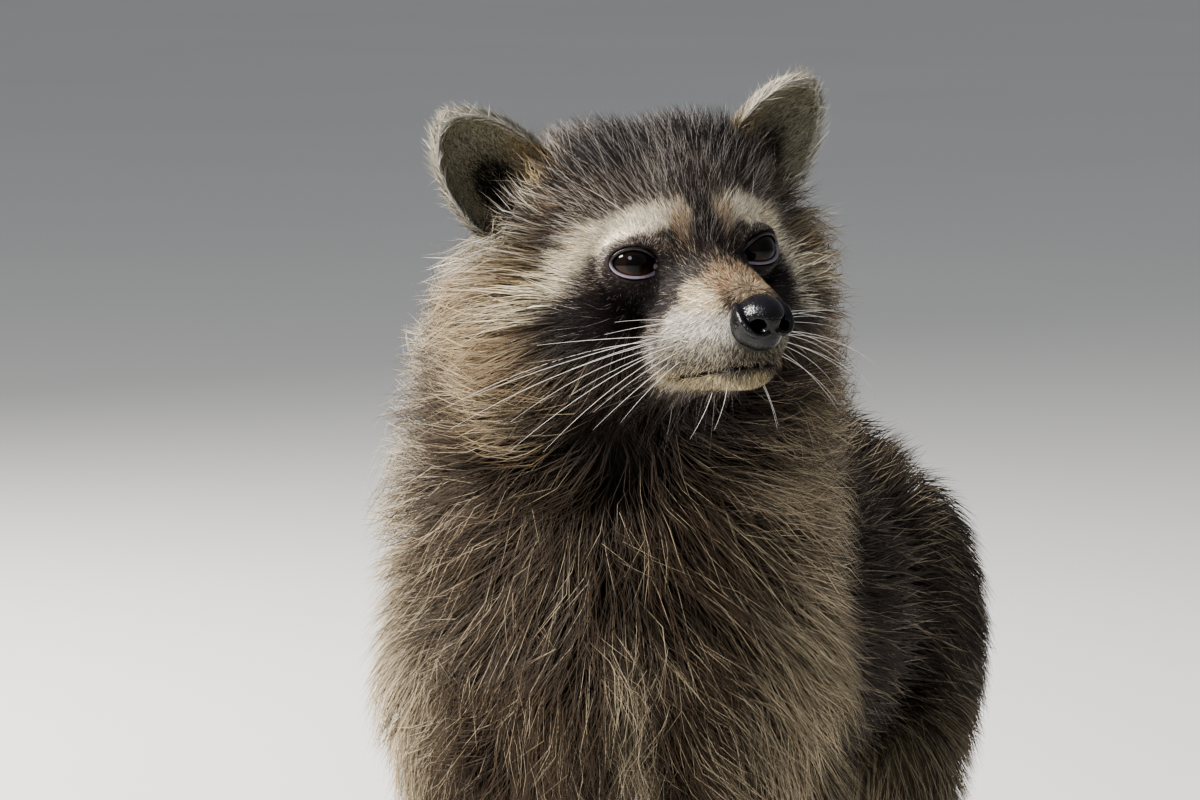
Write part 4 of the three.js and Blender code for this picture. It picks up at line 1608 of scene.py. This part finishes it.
# Rows of whiskers on the upper lip: height, how far forward it starts, count, length, droop.
LIP_ROWS = [
    (-16, -52, 2, 40, 0.06),
    (-19, -50, 3, 62, 0.0),
    (-22, -48, 4, 70, -0.14),
    (-25.5, -46, 3, 62, -0.32),
    (-28, -46, 2, 42, -0.5),
]
# Single hairs over the eye, on the cheek and on the chin: place, direction, length.
LONE = [
    ((21, -27, 19), (0.6, 0.3, 0.8), 22),
    ((44, -4, -14), (0.85, -0.1, -0.1), 20),
    ((7, -58, -38), (0.3, -0.2, -0.9), 15),
    ((10, -52, -40), (0.4, 0.0, -0.9), 15),
]


def whisker_mesh(root, direction, length, curl, thick=0.09):
    """A fine tapered hair from its root, which bends away as its curl says."""
    share = np.linspace(0, 1, 10)[:, None]
    root, direction = np.array(root, float), np.array(direction, float)
    path = root + length * (direction / np.linalg.norm(direction) * share + curl * share**2)
    radii = thick * (1 - share[:, 0] ** 1.5) + 0.03
    return swept(HEAD.world(path), radii, 5)


def on_lip(x_side, y, z):
    """The place on the skin of the muzzle that lies out to one side from its middle."""
    out = np.linspace(2, 30, 80)
    line = np.column_stack([x_side * out, np.full(80, float(y)), np.full(80, float(z))])
    inside = distance(HEAD.world(line)) < 0
    return line[max(np.nonzero(inside)[0], default=0)]


def make_whiskers(material):
    hairs = []
    for side in SIDES:
        for z, front, count, length, droop in LIP_ROWS:
            for n in range(count):
                root = on_lip(side, front + 5.5 * n - (side > 0), z + 0.8 * RANDOM.normal())
                sweep = 0.02 + 0.13 * n + 0.05 * RANDOM.normal()
                drop = droop + 0.07 * RANDOM.normal()
                direction = (side * 0.95, sweep, drop)
                curl = np.array([-side * 0.06, 0.3, -0.12 - 0.12 * (droop < 0)])
                curl = curl + 0.04 * RANDOM.normal(size=3)
                reach = length * RANDOM.uniform(0.75, 1.1) * (0.72 + 0.28 * min(n, 2) / 2)
                hairs.append(whisker_mesh(root, direction, reach, curl))
        for place, direction, length in LONE:
            mirror = np.array([side, 1, 1])
            curl = np.array([0, 0.35, -0.08]) + 0.05 * RANDOM.normal(size=3)
            hairs.append(whisker_mesh(place * mirror, direction * mirror, length, curl, 0.07))
    whiskers = new_object("whiskers", *joined(hairs), material)


# ---------------------------------------------------------------- materials


def new_material(name, **sockets):
    """A principled material, its shader, and the place on the object for its patterns."""
    material = bpy.data.materials.new(name)
    material.use_nodes = True
    shader = material.node_tree.nodes["Principled BSDF"]
    for socket, value in sockets.items():
        shader.inputs[socket.replace("_", " ")].default_value = value
    place = add_node(material.node_tree, "ShaderNodeTexCoord").outputs["Object"]
    return material, shader, place


def add_node(tree, kind, inputs=(), **settings):
    """A node with its inputs linked or set."""
    node = tree.nodes.new(kind)
    for key, value in settings.items():
        setattr(node, key, value)
    for socket, value in dict(inputs).items():
        if isinstance(value, bpy.types.NodeSocket):
            tree.links.new(value, node.inputs[socket])
        else:
            node.inputs[socket].default_value = value
    return node


def add_paint(material, shader, value, spread):
    """Base colour: the painted markings, with a pattern's value, spread in range, over them."""
    tree = material.node_tree
    shade = add_node(tree, "ShaderNodeMapRange", {"Value": value, **spread})
    colour = add_node(tree, "ShaderNodeVertexColor", layer_name=PAINT).outputs["Color"]
    mixed = add_node(
        tree, "ShaderNodeVectorMath", {0: colour, 1: shade.outputs["Result"]}, operation="MULTIPLY"
    )
    tree.links.new(mixed.outputs["Vector"], shader.inputs["Base Color"])


def add_ramp(material, shader, value, *stops):
    """Base colour: a pattern's value turned into a colour between two."""
    tree = material.node_tree
    ramp = add_node(tree, "ShaderNodeValToRGB", {"Fac": value})
    for stop, (position, colour) in zip(ramp.color_ramp.elements, stops):
        stop.position = position
        stop.color = (*colour, 1)
    tree.links.new(ramp.outputs["Color"], shader.inputs["Base Color"])


def add_bump(material, shader, height, strength, depth):
    inputs = {"Height": height, "Strength": strength, "Distance": depth}
    bump = add_node(material.node_tree, "ShaderNodeBump", inputs)
    material.node_tree.links.new(bump.outputs["Normal"], shader.inputs["Normal"])


def markings_material(name, scale, bump, **sockets):
    """The painted colours, with a fine grain over them and, if there is any, a bump to match."""
    material, shader, place = new_material(name, **sockets)
    inputs = {"Vector": place, "Scale": scale, "Detail": 4.0}
    grain = add_node(material.node_tree, "ShaderNodeTexNoise", inputs).outputs["Fac"]
    spread = {"From Min": 0.3, "From Max": 0.7, "To Min": 0.78, "To Max": 1.22}
    add_paint(material, shader, grain, spread)
    if bump:
        add_bump(material, shader, grain, bump, 0.0006)
    return material


def eye_material():
    """A dark wet eye under a clear, smooth layer, with a little life in its brown."""
    return markings_material(
        "eye_wet", 500, 0, Roughness=0.4, Specular_IOR_Level=0.0,
        Coat_Weight=0.9, Coat_Roughness=0.02, Coat_IOR=1.38,
    )


def nose_material():
    """Damp black leather with a fine pebbled grain, its grooves darkened with painted shade."""
    material, shader, place = new_material("nose_leather", Roughness=0.25, Specular_IOR_Level=0.5)
    tree = material.node_tree
    pebbles = add_node(tree, "ShaderNodeTexVoronoi", {"Vector": place, "Scale": 1150.0})
    gap = pebbles.outputs["Distance"]
    # The pebbles are painted lighter at their middles and darker in the grooves between them, as
    # painted shade.
    add_paint(material, shader, gap, {"From Max": 0.6, "To Min": 1.15, "To Max": 0.7})
    height = add_node(tree, "ShaderNodeMath", {0: 1.0, 1: gap}, operation="SUBTRACT")
    add_bump(material, shader, height.outputs["Value"], 0.5, 0.0003)
    return material


def horn_material():
    """Claws: dark horn with paler, worn streaks."""
    material, shader, place = new_material("claw_horn", Roughness=0.38)
    tree = material.node_tree
    stretched = add_node(tree, "ShaderNodeMapping", {"Vector": place, "Scale": (900, 120, 900)})
    inputs = {"Vector": stretched.outputs["Vector"], "Scale": 1.0, "Detail": 5.0}
    streaks = add_node(tree, "ShaderNodeTexNoise", inputs).outputs["Fac"]
    add_ramp(material, shader, streaks, (0.35, linear(36, 30, 26)), (0.75, linear(104, 90, 74)))
    add_bump(material, shader, streaks, 0.3, 0.0002)
    return material


def whisker_material():
    """Stiff white hair with a faint change of tone along it."""
    material, shader, place = new_material("whisker_hair", Roughness=0.3, Specular_IOR_Level=0.6)
    inputs = {"Vector": place, "Scale": 60.0}
    tone = add_node(material.node_tree, "ShaderNodeTexNoise", inputs).outputs["Fac"]
    add_ramp(material, shader, tone, (0, linear(206, 200, 190)), (1, linear(250, 248, 244)))
    return material


def floor_material():
    """A pale, matt studio floor."""
    material, shader, place = new_material("studio_floor", Roughness=0.85, Specular_IOR_Level=0.2)
    inputs = {"Vector": place, "Scale": 1.5, "Detail": 3.0}
    cloud = add_node(material.node_tree, "ShaderNodeTexNoise", inputs).outputs["Fac"]
    add_ramp(material, shader, cloud, (0, (0.70, 0.695, 0.685)), (1, (0.76, 0.755, 0.745)))
    return material


# ---------------------------------------------------------------- the animal


def make_animal():
    fur = markings_material("fur", 900, 0, Roughness=0.5, Specular_IOR_Level=0.35)
    bare = markings_material("skin", 1400, 0.8, Roughness=0.7, Specular_IOR_Level=0.3)
    rim = markings_material("wet_rim", 1800, 0.3, Roughness=0.25, Specular_IOR_Level=0.5)
    skin = new_object("skin", skin_vertices, skin_faces, bare, skin_colours(skin_vertices))
    flesh = [name for name in frame["nodes"] if not name.startswith(("eye", "nose"))]
    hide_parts(*flesh)
    make_coat(fur)
    eye = eye_material()
    for name, frame_ in (("left", EYES[1]), ("right", EYES[0])):
        make_eye(frame_, name, eye)
    make_lids(rim)
    make_nose(nose_material())
    make_claws(horn_material())
    make_whiskers(whisker_material())


# ---------------------------------------------------------------- the stage

CAMERA_AZIMUTH, CAMERA_ELEVATION, CAMERA_DISTANCE = 12, 6, 2369
FRAME_RIGHT, FRAME_DOWN = 22.7, 45.8  # from the middle of the picture to the head's origin


def add_camera():
    """The photo's viewpoint, as fitted to the eyes, nose, ears and cheeks in it."""
    azimuth, elevation = math.radians(CAMERA_AZIMUTH), math.radians(CAMERA_ELEVATION)
    back = aimed(azimuth, elevation)
    right = np.array([math.cos(azimuth), math.sin(azimuth), 0])
    up = np.cross(back, right)
    aim = HEAD.origin - FRAME_RIGHT * right - FRAME_DOWN * up
    camera = bpy.data.objects.new("camera", bpy.data.cameras.new("camera"))
    camera.data.lens, camera.data.sensor_width = 200, 36
    camera.data.clip_start, camera.data.clip_end = 0.05, 200
    axes = Matrix(np.stack([right, up, back], axis=1).tolist()).to_4x4()
    camera.matrix_world = Matrix.Translation(metres(aim + CAMERA_DISTANCE * back)) @ axes
    bpy.context.scene.collection.objects.link(camera)
    bpy.context.scene.camera = camera


def add_light(name, at, size, watts, colour, target):
    """A round area light that points at its target."""
    lamp = bpy.data.lights.new(name, "AREA")
    lamp.shape, lamp.size, lamp.energy, lamp.color = "DISK", size, watts, colour
    holder = bpy.data.objects.new(name, lamp)
    holder.location = at
    holder.rotation_euler = (Vector(at) - Vector(target)).to_track_quat("Z", "Y").to_euler()
    bpy.context.scene.collection.objects.link(holder)


# Each light: its name, where it is in metres, its size, watts, colour and what it points at.
LIGHTS = [
    ("key", (-1.4, -1.2, 1.5), 0.7, 92, (1, 0.96, 0.9), (0, -0.25, 0.25)),
    ("rim", (-1.2, 0.9, 1.2), 0.6, 40, (1, 0.98, 0.95), (0, -0.1, 0.25)),
    ("fill", (-0.2, -2.2, 1.8), 0.9, 18, (0.94, 0.97, 1), (0, -0.2, 0.25)),
]
SKY = {"Color": (0.93, 0.96, 1, 1), "Strength": 0.29}


def add_stage():
    """The floor, the sky's light and the way that the picture is developed."""
    bpy.ops.mesh.primitive_plane_add(size=80, location=(0, 0, 0))
    floor = bpy.context.object
    floor.name = "floor"
    floor.data.materials.append(floor_material())
    world = bpy.data.worlds.new("studio")
    world.use_nodes = True
    for socket, value in SKY.items():
        world.node_tree.nodes["Background"].inputs[socket].default_value = value
    bpy.context.scene.world = world
    bpy.context.scene.view_settings.look = "AgX - Medium High Contrast"


make_animal()
add_camera()
add_stage()
for light in LIGHTS:
    add_light(*light)
